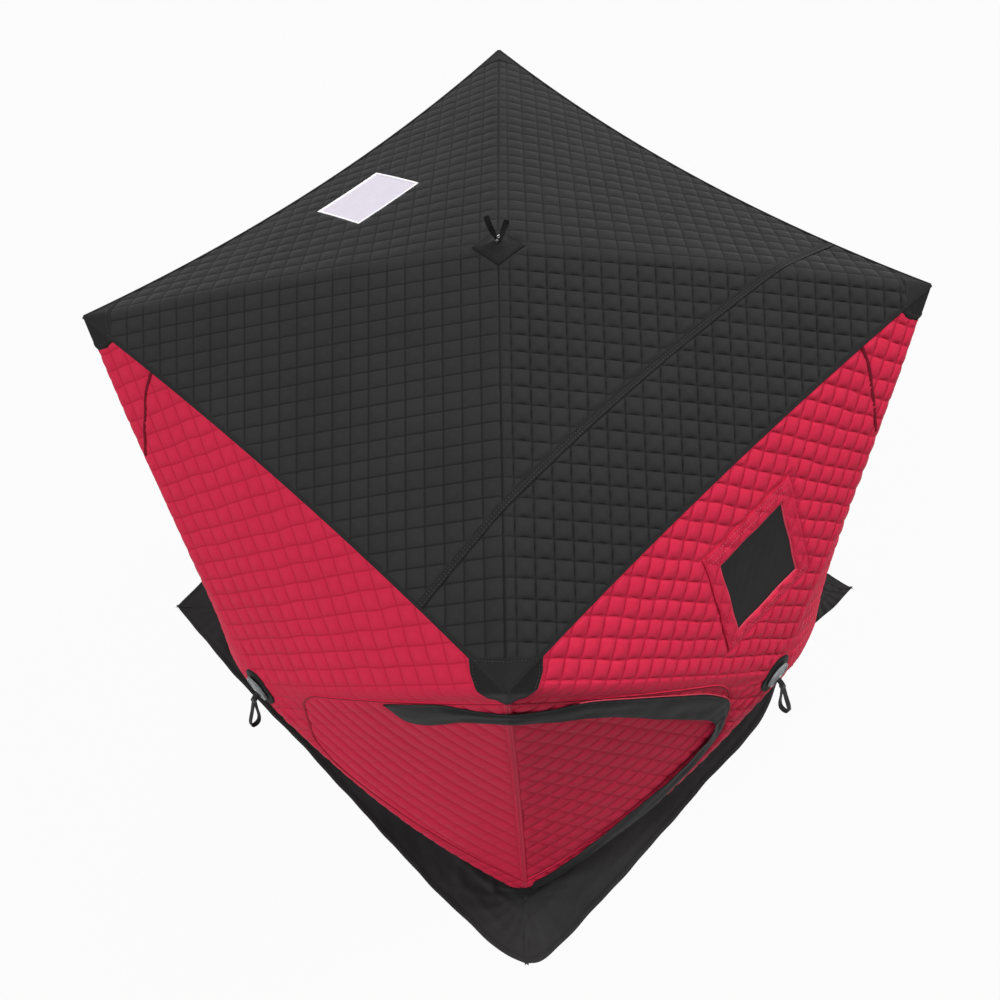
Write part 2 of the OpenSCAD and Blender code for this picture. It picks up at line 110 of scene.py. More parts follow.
def roof(p, q):
    """The roof at square coordinates: p along +X and q along +Y, -1 to 1, apex at 0."""
    t = np.maximum(np.maximum(abs(p), abs(q)), 1e-9)
    out = np.zeros(p.shape + (3,))
    cases = [(p, -q >= abs(p)), (q, p > abs(q)), (-p, q >= abs(p)), (-q, -p > abs(q))]
    for side, (along, here) in enumerate(cases):
        s = (along[here] / t[here] + 1) / 2
        flat = panel_points(
            APEX, WALL_CORNERS[0], WALL_CORNERS[1], ROOF_BOW, ROOF_BOW, EDGE_PULLS[0], s, t[here]
        )
        out[here] = turned(flat, side)
    return out


def corner(p, q):
    """The front wall's right part and, beyond p = 1, its mirror image on the right wall."""
    wall = front_wall(np.where(p > 1, 2 - p, p), q)
    mirror = np.stack([-wall[..., 1], -wall[..., 0], wall[..., 2]], -1)
    return np.where((p > 1)[..., None], mirror, wall)


def softened(surface, room):
    """The surface with its folds rounded: each point is a weighted mean of the points within room(p, q)."""
    weights = [1, 4, 6, 4, 1]

    def soft(p, q):
        step = room(p, q) / 2
        total = np.zeros(p.shape + (3,))
        for i, a in enumerate(weights):
            for j, b in enumerate(weights):
                total += a * b * surface(p + (i - 2) * step, q + (j - 2) * step)
        return total / 256

    return soft


def panel_room(p, q):
    t = np.maximum(abs(p), abs(q))
    return 0.026 * np.clip(np.minimum((1 - t) / 0.03, (t - 0.03) / 0.06), 0, 1)


soft_front = softened(front_wall, panel_room)
soft_roof = softened(roof, panel_room)
soft_corner = softened(corner, lambda p, q: 0.010 + 0 * p)


def wobbled(surface):
    """The surface with its sewn lines pushed a little out of true in the upper and lower panels."""

    def moved(p, q):
        t = np.maximum(abs(p), abs(q))
        fade = np.clip((1 - t) / 0.08, 0, 1) * np.clip((t - 0.06) / 0.1, 0, 1)
        fade = fade * np.clip((abs(q) - abs(p) + 0.02) / 0.15, 0, 1)
        push = 0.0016 * fade
        return surface(
            p + push * (np.sin(23 * p + 9 * q + 1) + np.sin(41 * q - 17 * p)),
            q + push * (np.sin(19 * q - 11 * p + 2) + np.sin(37 * p + 13 * q)),
        )

    return moved


wall_cloth = wobbled(soft_front)


def shifted(points, d):
    """Points moved out by d, the way the CAD model gives its cloth a thickness."""
    k = 1 + np.asarray(d) / SHELL_R
    z = points[..., 2]
    high = np.where(z > SHELL_Z, SHELL_Z + (z - SHELL_Z) * k, z)
    return np.stack([points[..., 0] * k, points[..., 1] * k, high], -1)


def smooth_step(x):
    x = np.clip(x, 0, 1)
    return x * x * (3 - 2 * x)


def bump(d, width):
    return np.exp(-((d / width) ** 2))


def ripple(x, y, seed=0.0):
    """Slow waves in two directions, from about -1 to 1, the same on every run."""
    return (
        np.sin(7.1 * x + 3.3 * y + seed)
        + np.sin(-4.7 * x + 9.2 * y + 1.7 * seed + 1)
        + 0.6 * np.sin(17 * x + 13 * y + 2.3 * seed + 2)
        + 0.4 * np.sin(29 * x - 23 * y + 3.1 * seed)
    ) / 2.6


# ---- materials ----


def linear(*rgb):
    """A colour given as sRGB out of 255."""
    c = np.array(rgb) / 255
    return (*np.where(c <= 0.04045, c / 12.92, ((c + 0.055) / 1.055) ** 2.4), 1.0)


def shade(colour, factor, lift=0.0):
    return tuple(c * factor + lift for c in colour[:3]) + (1,)


class Nodes:
    """The nodes of one tree, added one after another."""

    def __init__(self, tree):
        self.tree = tree

    def add(self, kind, inputs=None, **settings):
        node = self.tree.nodes.new("ShaderNode" + kind)
        for key, value in settings.items():
            setattr(node, key, value)
        for key, value in (inputs or {}).items():
            self.put(node, key, value)
        return node

    def put(self, node, key, value):
        socket = node.inputs[key]
        if isinstance(value, bpy.types.NodeSocket):
            self.tree.links.new(value, socket)
        else:
            socket.default_value = value

    def math(self, operation, a, b=0.0):
        return self.add("Math", {0: a, 1: b}, operation=operation).outputs[0]

    def span(self, value, low, high, to_low=0.0, to_high=1.0):
        inputs = {"Value": value, "From Min": low, "From Max": high, "To Min": to_low, "To Max": to_high}
        return self.add("MapRange", inputs).outputs["Result"]

    def mix(self, amount, a, b):
        node = self.add("Mix", data_type="RGBA")
        for index, value in ((0, amount), (6, a), (7, b)):
            self.put(node, index, value)
        return node.outputs[2]

    def noise(self, where, scale, detail=3.0, rough=0.5):
        inputs = {"Vector": where, "Scale": scale, "Detail": detail, "Roughness": rough}
        return self.add("TexNoise", inputs).outputs["Fac"]

    def place(self):
        return self.add("TexCoord").outputs["Object"]

    def flat(self):
        return self.add("UVMap", uv_map="flat").outputs["UV"]

    def mapped(self, where, **inputs):
        return self.add("Mapping", {"Vector": where, **inputs}).outputs[0]

    def value(self, name):
        return self.add("Attribute", attribute_name=name).outputs["Fac"]

    def waves(self, where, scale, direction, distortion=0.0):
        inputs = {"Vector": where, "Scale": scale, "Distortion": distortion}
        return self.add("TexWave", inputs, wave_type="BANDS", bands_direction=direction).outputs["Fac"]

    def bump(self, height, strength, distance, normal=None):
        inputs = {"Height": height, "Strength": strength, "Distance": distance}
        if normal is not None:
            inputs["Normal"] = normal
        return self.add("Bump", inputs).outputs["Normal"]

    def seen(self):
        """1 for what the camera sees straight, in a reflection or through glass, 0 for light on the object."""
        path = self.add("LightPath")
        straight, mirrored, through = (path.outputs[f"Is {ray} Ray"] for ray in ("Camera", "Glossy", "Transmission"))
        return self.math("MAXIMUM", self.math("MAXIMUM", straight, mirrored), through)


class Look(Nodes):
    """The nodes of one new material."""

    def __init__(self, name):
        self.material = bpy.data.materials.new(name)
        self.material.use_nodes = True
        super().__init__(self.material.node_tree)
        self.shader = self.tree.nodes["Principled BSDF"]

    def finish(self, **inputs):
        for key, value in inputs.items():
            self.put(self.shader, key.replace("_", " "), value)
        return self.material


WAVE_PERIOD = 0.314  # of a wave texture at scale 1


def cloth_material(name, colour, crease_and_shade_colour, yarn, roughness, sheen, mottle):
    """Woven cloth: crossing yarns, mottled colour, darker along its sewn creases (partly the real sewn line, partly
    painted shade), with a painted highlight where it stands proud.
    """
    n = Look(name)
    flat, place = n.flat(), n.place()
    warp = n.waves(flat, WAVE_PERIOD / yarn, "X", 0.6)
    weft = n.waves(flat, WAVE_PERIOD / yarn, "Y", 0.6)
    weave = n.math("MULTIPLY", warp, weft)
    cloud = n.noise(place, 3.5, 4.0, 0.6)
    fleck = n.noise(place, 260.0, 2.0)
    streak = n.noise(n.mapped(flat, Scale=(900, 16, 1)), 1.0, 2.0)
    pale, deep = shade(colour, 1.16, 0.006), shade(colour, 0.84)
    tone = n.mix(n.span(cloud, 0.3, 0.7, 0.5 - mottle, 0.5 + mottle), deep, pale)
    tone = n.mix(n.span(fleck, 0.35, 0.65, 0.0, 0.16), tone, deep)
    tone = n.mix(n.span(streak, 0.3, 0.7, 0.0, 0.22), tone, deep)
    tone = n.mix(n.span(weave, 0.0, 1.0, 0.14, 0.0), tone, deep)
    # Painted highlight: paler where the cloth stands proud, as on lit pillow tops.
    tone = n.mix(n.span(n.value("proud_highlight"), 0.75, 1.0, 0.0, 0.25), tone, pale)
    # Darker along sewn lines, folds and grooves: partly the real sewn line, partly painted shade.
    tone = n.mix(n.math("MULTIPLY", n.value("crease_and_shade"), 0.75), tone, crease_and_shade_colour)
    rough = n.span(cloud, 0.2, 0.8, roughness - 0.06, roughness + 0.06)
    normal = n.bump(weave, 0.6, 0.00018)
    normal = n.bump(fleck, 0.35, 0.0004, normal)
    normal = n.bump(n.noise(place, 22.0, 3.0, 0.55), 0.5, 0.004, normal)
    return n.finish(
        Base_Color=tone, Roughness=rough, Normal=normal, Sheen_Weight=sheen, Sheen_Roughness=0.45,
        Specular_IOR_Level=0.06,
    )


def webbing_material(name, colour, rib=0.0022):
    """Strap or thread: ribs across it, crossed by a finer slanted weave, with a little fuzz."""
    n = Look(name)
    flat, place = n.flat(), n.place()
    ribs = n.waves(flat, WAVE_PERIOD / rib, "X", 0.3)
    chevron = n.waves(n.mapped(flat, Rotation=(0, 0, pi / 4)), WAVE_PERIOD / (rib * 0.7), "X", 0.2)
    weave = n.math("MULTIPLY", ribs, chevron)
    fuzz = n.noise(place, 420.0, 2.0)
    tone = n.mix(weave, shade(colour, 0.55), colour)
    tone = n.mix(n.span(fuzz, 0.4, 0.7, 0.0, 0.35), tone, shade(colour, 1.6))
    normal = n.bump(fuzz, 0.3, 0.0003, n.bump(weave, 0.9, 0.0005))
    return n.finish(
        Base_Color=tone, Roughness=n.span(fuzz, 0.2, 0.8, 0.55, 0.8), Normal=normal, Sheen_Weight=0.05,
        Specular_IOR_Level=0.2,
    )


def film_material(name, colour, roughness, crinkle, shine):
    """Plastic sheet: nearly flat, with soft creases from folding and a faint haze."""
    n = Look(name)
    place = n.place()
    folds = n.noise(place, 9.0, 5.0, 0.6)
    haze = n.noise(place, 40.0, 4.0, 0.7)
    tone = n.mix(n.span(haze, 0.4, 0.75, 0.0, 0.5), colour, shade(colour, 1.1, 0.004))
    tone = n.mix(n.span(folds, 0.48, 0.52, 0.0, 0.10), tone, shade(colour, 0.94))
    normal = n.bump(haze, 0.10, 0.0006, n.bump(folds, 0.3, crinkle))
    rough = n.span(haze, 0.3, 0.8, roughness - 0.06, roughness + 0.08)
    return n.finish(Base_Color=tone, Roughness=rough, Normal=normal, Specular_IOR_Level=shine)


def plastic_material(name, colour, roughness):
    """Moulded plastic with fine texture, scuffs and dirt."""
    n = Look(name)
    place = n.place()
    grain = n.noise(place, 900.0, 3.0)
    wear = n.noise(place, 35.0, 6.0, 0.7)
    tone = n.mix(n.span(wear, 0.4, 0.75, 0.0, 0.6), colour, shade(colour, 0.6))
    scratch = n.noise(n.mapped(place, Scale=(30, 500, 60)), 1.0, 3.0)
    tone = n.mix(n.span(scratch, 0.62, 0.75, 0.0, 0.35), tone, shade(colour, 1.7))
    normal = n.bump(grain, 0.3, 0.0002, n.bump(scratch, 0.2, 0.0002))
    return n.finish(Base_Color=tone, Roughness=n.span(wear, 0.3, 0.8, roughness, roughness + 0.2), Normal=normal)


def rod_material(name, colour):
    """Solid glass-fibre rod: faint lengthways fibres under a thin gloss."""
    n = Look(name)
    fibres = n.noise(n.mapped(n.place(), Scale=(300, 300, 12)), 1.0, 4.0)
    tone = n.mix(fibres, colour, shade(colour, 2.2))
    normal = n.bump(fibres, 0.25, 0.0003)
    return n.finish(Base_Color=tone, Roughness=n.span(fibres, 0.3, 0.7, 0.3, 0.5), Normal=normal, Coat_Weight=0.3)


def metal_material(name):
    """Bare steel, brighter where it is rubbed."""
    n = Look(name)
    wear = n.noise(n.place(), 300.0, 4.0)
    tone = n.mix(wear, linear(150, 150, 152), linear(215, 215, 218))
    return n.finish(Base_Color=tone, Metallic=1.0, Roughness=n.span(wear, 0.3, 0.8, 0.2, 0.45))


RED = linear(203, 38, 70)
BLACK = linear(33, 33, 34)
red_cloth = cloth_material("red_quilted_cloth", RED, linear(168, 24, 52), 0.0011, 0.62, 0.015, 0.18)
roof_black = cloth_material("black_quilted_cloth", BLACK, linear(10, 10, 11), 0.0011, 0.66, 0.05, 0.3)
plain_black = cloth_material("black_trim_cloth", linear(24, 24, 25), linear(8, 8, 9), 0.0009, 0.6, 0.03, 0.3)
skirt_black = cloth_material("black_skirt_cloth", linear(37, 37, 38), linear(14, 14, 15), 0.0009, 0.5, 0.04, 0.4)
lining_grey = cloth_material("lining_cloth", linear(70, 70, 74), linear(40, 40, 42), 0.0012, 0.75, 0.05, 0.3)
seam_red = cloth_material("red_seam_tape", linear(120, 18, 38), linear(70, 6, 20), 0.0008, 0.6, 0.05, 0.2)
hem_red = cloth_material("red_hem", linear(204, 64, 86), linear(140, 30, 50), 0.0008, 0.6, 0.1, 0.2)
white_edge = cloth_material("white_window_edge", linear(228, 226, 230), linear(180, 178, 184), 0.0008, 0.5, 0.0, 0.1)
black_webbing = webbing_material("black_webbing", linear(19, 19, 20))
red_thread = webbing_material("red_thread", linear(226, 96, 118), 0.0009)
black_thread = webbing_material("black_thread", linear(62, 62, 64), 0.0009)
# Painted reflection: the roof window's clear sheet is coloured pale for the white surroundings it reflects.
clear_film = film_material("clear_film", linear(186, 180, 192), 0.42, 0.0015, 0.3)
# Painted shade: the wall window's clear sheet is coloured dark for the shaded inside seen through it.
dark_film = film_material("dark_film", linear(27, 27, 28), 0.62, 0.001, 0.10)
hub_plastic = plastic_material("hub_plastic", linear(124, 130, 132), 0.4)
dark_plastic = plastic_material("dark_plastic", linear(34, 34, 36), 0.45)
rod = rod_material("rod", linear(48, 48, 50))
metal = metal_material("rivet_metal")

# ---- making pieces ----


def flat_map(mesh, flat):
    layer = mesh.uv_layers.new(name="flat")
    at = np.zeros(len(mesh.loops), dtype=np.int32)
    mesh.loops.foreach_get("vertex_index", at)
    layer.data.foreach_set("uv", np.ascontiguousarray(np.asarray(flat, np.float32)[at]).ravel())


def piece(name, points, faces, flat, looks, kinds=None, crease_and_shade=None, proud_highlight=None, sharp=65, merge=True):
    """A finished mesh object that rides the hut. flat is where each vertex lies on the flat cloth, in metres."""
    mesh = bpy.data.meshes.new(name)
    mesh.from_pydata(np.asarray(points).tolist(), [], [list(map(int, f)) for f in faces])
    for look in looks:
        mesh.materials.append(look)
    if kinds is not None:
        mesh.polygons.foreach_set("material_index", np.asarray(kinds, np.int32))
    mesh.polygons.foreach_set("use_smooth", np.ones(len(mesh.polygons), bool))
    flat_map(mesh, flat)
    for label, values in (("crease_and_shade", crease_and_shade), ("proud_highlight", proud_highlight)):
        if values is not None:
            layer = mesh.attributes.new(label, "FLOAT", "POINT")
            layer.data.foreach_set("value", np.asarray(values, np.float32))
    if merge:
        work = bmesh.new()
        work.from_mesh(mesh)
        bmesh.ops.remove_doubles(work, verts=work.verts, dist=1e-6)
        bmesh.ops.recalc_face_normals(work, faces=work.faces)
        work.to_mesh(mesh)
        work.free()
    mesh.validate()
    mesh.update()
    mesh.set_sharp_from_angle(angle=radians(sharp))
    made = bpy.data.objects.new(name, mesh)
    bpy.context.scene.collection.objects.link(made)
    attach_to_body(made, "root")
    return made


def triangles(points):
    """The Delaunay triangles of flat points, all turned the same way and none of them a sliver."""
    made = delaunay_2d_cdt([Vector(p) for p in points.tolist()], [], [], 0, 1e-7, False)
    faces = np.array([list(f) for f in made[2]])
    a, b, c = (points[faces[:, k]] for k in range(3))
    area = (b[:, 0] - a[:, 0]) * (c[:, 1] - a[:, 1]) - (b[:, 1] - a[:, 1]) * (c[:, 0] - a[:, 0])
    faces = faces[abs(area) > 1e-11]
    area = area[abs(area) > 1e-11]
    faces[area < 0] = faces[area < 0][:, ::-1]
    return faces


def crosses(points, faces):
    a, b, c = (points[faces[:, k]] for k in range(3))
    return np.cross(b - a, c - a)


def unit(vectors):
    return vectors / np.maximum(np.linalg.norm(vectors, axis=1), 1e-12)[:, None]


def normals_of(points, faces):
    out = np.zeros(points.shape)
    for k in range(3):
        np.add.at(out, faces[:, k], crosses(points, faces))
    return unit(out)


def area_of(points, faces):
    return float(np.linalg.norm(crosses(points, faces), axis=1).sum() / 2)


def run_of(path):
    """How far along a path each of its points lies."""
    return np.concatenate([[0], np.cumsum(np.linalg.norm(np.diff(path, axis=0), axis=1))])


def rim_edges(faces):
    """The edges used by one face, each in its face's direction."""
    edges = np.concatenate([faces[:, [0, 1]], faces[:, [1, 2]], faces[:, [2, 0]]])
    key = np.sort(edges, axis=1)
    _, first, count = np.unique(key[:, 0] * 10_000_000 + key[:, 1], return_index=True, return_counts=True)
    return edges[first[count == 1]]


def spread(a, b, step):
    """Points from a up to b, without b, about step apart."""
    a, b = np.asarray(a, float), np.asarray(b, float)
    count = max(1, int(np.ceil(np.linalg.norm(b - a) / step)))
    return a + (b - a) * (np.arange(count) / count)[:, None]


def loop_of(corners, step):
    return np.concatenate([spread(a, b, step) for a, b in zip(corners, corners[1:] + corners[:1])])


def outline_of(box, step):
    x0, x1, y0, y1 = box
    return loop_of([(x0, y0), (x1, y0), (x1, y1), (x0, y1)], step)


def grid_of(xs, ys):
    return np.stack(np.meshgrid(xs, ys), -1).reshape(-1, 2)


def spaced(path, step):
    """A path's points, set again about step apart."""
    path = np.asarray(path, float)
    run = run_of(path)
    at = np.linspace(0, run[-1], max(2, int(np.ceil(run[-1] / step)) + 1))
    return np.stack([np.interp(at, run, path[:, k]) for k in range(path.shape[1])], -1)


RIM_STEP = 0.0058  # between the points of a cloth's outline
RIM_CLEAR = 0.0045  # between the outline and the nearest point of the outer face
LINING_STEP, LINING_CLEAR, LINING_START = 0.034, 0.012, 0.011


def distance_to(rim, points):
    """How far each flat point is from the nearest point of the rim."""
    tree = KDTree(len(rim))
    for i, p in enumerate(rim.tolist()):
        tree.insert((*p, 0), i)
    tree.balance()
    return np.array([tree.find((*p, 0))[2] for p in points.tolist()])


def fabric(name, surface, rim, inside, fine, relief, looks, thick=CLOTH_T, lift=0.0):
    """A closed sheet of quilted cloth over a region of a surface.

    rim holds the points of its outlines, inside(p, q) says which of a triangle's middles are cloth, fine are the
    points of its outer face and relief(p, q, d) gives their height, their crease darkening (partly painted shade) and
    how far they stand proud (for a painted highlight), d from the outline.
    """
    fine = fine[inside(*fine.T)]
    away = distance_to(rim, fine)
    keep = away > RIM_CLEAR
    outer = np.concatenate([rim, fine[keep]])
    away = np.concatenate([np.zeros(len(rim)), away[keep]])
    grid = grid_of(*(np.arange(a, b, LINING_STEP) + LINING_START for a, b in zip(rim.min(0), rim.max(0))))
    inner = np.concatenate([rim, grid[distance_to(rim, grid) > LINING_CLEAR]])
    faces = []
    for points in (outer, inner):
        made = triangles(points)
        faces.append(made[inside(*points[made].mean(1).T)])
    base = shifted(surface(*outer.T), lift)
    height, crease_and_shade, proud_highlight = relief(*outer.T, away)
    top = base + normals_of(base, faces[0]) * height[:, None]
    under = shifted(surface(*inner.T), lift - thick)
    edges = rim_edges(faces[0]).tolist()
    differing = set(map(tuple, edges)) ^ set(map(tuple, rim_edges(faces[1]).tolist()))
    if differing:
        print(name, "rim edges that differ:", len(differing))
    n = len(outer)
    rims = [(b, a, a + n, b + n) for a, b in edges]
    all_faces = faces[0].tolist() + (faces[1][:, ::-1] + n).tolist() + rims
    kinds = [0] * len(faces[0]) + [1] * len(faces[1]) + [0] * len(rims)
    points = np.concatenate([top, under])
    used = np.zeros(len(points), bool)
    for f in (faces[0], faces[1] + n):
        used[f.ravel()] = True
    number = np.cumsum(used) - 1
    all_faces = [[number[v] for v in f] for f in all_faces]
    flat, blank = np.concatenate([outer, inner]) * HALF_EAVE, np.zeros(len(under))
    crease_and_shade, proud_highlight = (np.concatenate([values, blank])[used] for values in (crease_and_shade, proud_highlight))
    made = piece(name, points[used], all_faces, flat[used], looks, kinds, crease_and_shade, proud_highlight, merge=False)
    made["flat_area"] = area_of(base, faces[0])
    return made


def shell(name, outer, inner, look, wrap=False, flat=None, crease_and_shade=None):
    """The closed sheet between two grids of points. wrap joins the last column to the first."""
    outer, inner = np.asarray(outer), np.asarray(inner)
    rows, cols = outer.shape[:2]
    count = rows * cols
    number = np.arange(count).reshape(rows, cols)
    if wrap:
        number = np.concatenate([number, number[:, :1]], 1)
    a, b = number[:-1, :-1].ravel(), number[:-1, 1:].ravel()
    c, d = number[1:, 1:].ravel(), number[1:, :-1].ravel()
    faces = np.concatenate([np.stack([a, b, c, d], 1), np.stack([d, c, b, a], 1) + count])
    rims = [number[0, ::-1], number[-1]]
    if not wrap:
        rims += [number[:, 0], number[::-1, -1]]
    for line in rims:
        i, j = line[:-1], line[1:]
        faces = np.concatenate([faces, np.stack([j, i, i + count, j + count], 1)])
    if flat is None:
        flat = np.stack(np.meshgrid(run_of(outer[rows // 2]), run_of(outer[:, cols // 2])), -1)
    flat = np.asarray(flat).reshape(-1, 2)
    dark = None if crease_and_shade is None else np.tile(np.asarray(crease_and_shade, float).ravel(), 2)
    top = outer.reshape(-1, 3)
    points = np.concatenate([top, inner.reshape(-1, 3)])
    made = piece(name, points, faces, np.concatenate([flat, flat]), [look], crease_and_shade=dark, sharp=50)
    made["flat_area"] = sum(area_of(top, np.stack(corners, 1)) for corners in ((a, b, c), (a, c, d)))
    return made


RIBBON_UNDER = 0.0004


def strip_grid(surface, line_a, line_b, columns):
    """A grid between two lines of surface coordinates: its points, and where each is across and along, 0 to 1."""
    across = np.linspace(0, 1, columns + 1)
    at = line_a[:, None] + (line_b - line_a)[:, None] * across[None, :, None]
    along = np.linspace(0, 1, len(line_a))[:, None] + 0 * across
    return surface(at[..., 0], at[..., 1]), across[None] + 0 * along, along


def ribbon(name, surface, line, half_width, columns, profile, look, times=0, crease_and_shade=None):
    """Trim sewn on a surface along a line of its coordinates. profile(across, along) is its height."""
    base, across, along = strip_grid(surface, offset_line(line, -half_width), offset_line(line, half_width), columns)
    outer, inner = turned(shifted(base, profile(across, along)), times), turned(shifted(base, RIBBON_UNDER), times)
    dark = None if crease_and_shade is None else crease_and_shade(across, along)
    facing = np.cross(outer[0, -1] - outer[0, 0], outer[1, 0] - outer[0, 0])
    if facing @ (outer[0, 0] - MIDDLE) < 0:
        outer, inner = outer[:, ::-1], inner[:, ::-1]
        dark = None if dark is None else dark[:, ::-1]
    return shell(name, outer, inner, look, crease_and_shade=dark)


def offset_line(line, d):
    """A line in surface coordinates moved sideways by d metres, to its left."""
    line = np.asarray(line, float)
    along = unit(np.gradient(line, axis=0))
    return line + np.stack([-along[:, 1], along[:, 0]], -1) * d / HALF_EAVE


def round_section(rx, ry, count, power=1.0):
    """An oval's points, squarer at a lower power."""
    angles = np.arange(count) / count * tau
    return [(rx * cos(a), ry * np.sign(sin(a)) * abs(sin(a)) ** power) for a in angles]


def closed_rings(name, rings, ends, flat, look, sharp=65):
    """The closed body through rings of points, with a point in the middle of its first and last one."""
    n, m = rings.shape[:2]
    number = np.arange(n * m).reshape(n, m)
    faces = []
    for k in range(m):
        j = (k + 1) % m
        faces += np.stack([number[:-1, k], number[:-1, j], number[1:, j], number[1:, k]], 1).tolist()
        faces += [(n * m, number[0, j], number[0, k]), (n * m + 1, number[-1, k], number[-1, j])]
    return piece(name, np.concatenate([rings.reshape(-1, 3), ends]), faces, flat, [look], sharp=sharp)


def sweep(name, path, side, section, look, times=0):
    """A closed bar through a path. section is its outline as (across, up) points, across running along side."""
    path = np.asarray(path, float)
    along = unit(np.gradient(path, axis=0))
    side = np.broadcast_to(np.asarray(side, float), path.shape)
    side = unit(side - along * (side * along).sum(1)[:, None])
    up = np.cross(side, along)
    section = np.asarray(section, float)
    if section.ndim == 2:
        section = np.broadcast_to(section, (len(path),) + section.shape)
    rings = turned(path[:, None] + section[..., :1] * side[:, None] + section[..., 1:] * up[:, None], times)
    run = run_of(path)
    flat = np.stack([section[..., 0], np.broadcast_to(run[:, None], rings.shape[:2])], -1).reshape(-1, 2)
    flat = np.concatenate([flat, [(0, 0), (0, run[-1])]])
    return closed_rings(name, rings, turned(path[[0, -1]], times), flat, look)


def strap_section(width, thick):
    """A flat band with rounded edges."""
    w, h = width / 2, thick / 2
    half = [(w - 0.0008, -h), (w, -h / 3), (w, h / 3), (w - 0.0008, h)]
    return half + [(w / 3, h), (-w / 3, h)] + [(-x, -y) for x, y in half] + [(-w / 3, -h), (w / 3, -h)]


STITCH_STEP, STITCH_LENGTH, STITCH_R = 0.0095, 0.0062, 0.0009
STITCH_ENDS, STITCH_FLATNESS = 0.28, 0.8


def stitches(name, paths, look, step=STITCH_STEP, length=STITCH_LENGTH):
    """Rows of separate raised stitches along paths of points."""
    points, faces, flat = [], [], []
    for path in paths:
        path = spaced(path, step)
        along = unit(np.gradient(path, axis=0))
        side = unit(np.cross(along, unit(path - MIDDLE)))
        top = np.cross(side, along)
        for c, f, s, u in zip(path, along, side, top):
            base = len(points)
            around = [(s * x + u * y * STITCH_FLATNESS) * STITCH_R for x, y in ((1, 0), (0, 1), (-1, 0), (0, -1))]
            points.append(c - f * length / 2)
            for place in (-STITCH_ENDS, STITCH_ENDS):
                points += [c + f * place * length + offset for offset in around]
            points.append(c + f * length / 2)
            flat += [(i * 0.0003, 0) for i in range(10)]
            for k in range(4):
                a, b = base + 1 + k, base + 1 + (k + 1) % 4
                faces += [(base, b, a), (a, b, b + 4, a + 4), (base + 9, a + 4, b + 4)]
    return piece(name, points, faces, flat, [look], sharp=80)


def declare(made, node=None):
    """Hides the CAD part named node, which the sheet stands in for."""
    if node:
        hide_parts(node)


# ---- quilted cloth ----


def sewn_lines(*runs):
    """Where sewn lines lie across a family: each run is (first, pitch, lowest, highest)."""
    out = []
    for first, pitch, low, high in runs:
        n = np.arange(np.ceil((low - first) / pitch), np.floor((high - first) / pitch) + 1)
        out += (first + n * pitch).tolist()
    return np.array(sorted(out))


CELL_CUTS = np.array([0, 0.08, 0.2, 0.4, 0.6, 0.8, 0.92])
NARROW_CUTS = np.array([0, 0.12, 0.35, 0.65, 0.88])
NARROW_CELL = 0.036
PILLOW_POWER, FULL_CELL, CREASE_HALF = 0.58, 0.055, 0.0026


def cuts(lines):
    """Where grid lines lie across a family: on each sewn line and closer together beside it."""
    out = [a + (b - a) * (CELL_CUTS if b - a > NARROW_CELL else NARROW_CUTS) for a, b in zip(lines, lines[1:])]
    return np.concatenate(out + [lines[-1:]])


class Quilting:
    """Two families of sewn lines, at values of two linear forms of the surface coordinates."""

    def __init__(self, forms, lines):
        self.forms, self.lines = np.array(forms, float), lines

    def points(self, keep):
        values = np.stack(np.meshgrid(*(cuts(x) for x in self.lines), indexing="ij"), -1).reshape(-1, 2)
        at = values @ np.linalg.inv(self.forms).T
        return at[keep(*at.T)]

    def cells(self, p, q, strengths=(1, 1)):
        """How far a point stands up in its cell, 0 at a sewn line and 1 in the middle, and how near a line it is. The
        first later sets a painted highlight, the second a darker line that is partly painted shade.
        """
        rise, crease_and_shade = np.ones(p.shape), np.zeros(p.shape)
        for form, lines, strength in zip(self.forms, self.lines, strengths):
            value = form[0] * p + form[1] * q
            i = np.clip(np.searchsorted(lines, value + 1e-9) - 1, 0, len(lines) - 2)
            width = lines[i + 1] - lines[i]
            f = np.clip((value - lines[i]) / width, 0, 1)
            up = (4 * f * (1 - f)) ** PILLOW_POWER * np.clip(width / FULL_CELL, 0.4, 1.1)
            rise = rise * (1 - strength + strength * up)
            near = np.minimum(f, 1 - f) * width
            crease_and_shade = np.maximum(crease_and_shade, strength * np.clip(1 - near / CREASE_HALF, 0, 1))
        return rise, crease_and_shade


SQUARE = (-1, 1, -1, 1)
FAMILY_SPAN = (-1.36, 1.36)
WALL_FORMS = [(0.91 / ROOT_2, 0.8945 / ROOT_2), (0.91 / ROOT_2, -0.8945 / ROOT_2)]
WALL_LINES = [  # the first line and the pitch of each wall's two families
    ((0.329, 0.0695), (-0.7205, 0.0540)),
    ((0.4151, 0.0563), (-0.742, 0.0590)),
    ((0.031, 0.0590), (-0.030, 0.0580)),
    ((0.020, 0.0600), (-0.028, 0.0560)),
]
WALL_RISE = [0.0046, 0.0074, 0.0060, 0.0052]


def wall_quilting(side):
    return Quilting(WALL_FORMS, [sewn_lines((*line, *FAMILY_SPAN)) for line in WALL_LINES[side]])


def in_square(p, q):
    return np.maximum(abs(p), abs(q)) < 0.9999


def in_box(p, q, box, grow=0.0):
    return (p > box[0] - grow) & (p < box[1] + grow) & (q > box[2] - grow) & (q < box[3] + grow)


def door_end_t(s):
    middle, half = (DOOR_TOP + DOOR_BOTTOM) / 2, (DOOR_BOTTOM - DOOR_TOP) / 2
    high = s < middle
    round_s, round_t = np.where(high, *DOOR_ROUND_S), np.where(high, *DOOR_ROUND_T)
    v = np.clip((abs(s - middle) / half - 1 + round_s) / round_s, 0, 1)
    return DOOR_END + round_t * (1 - np.sqrt(1 - v * v))


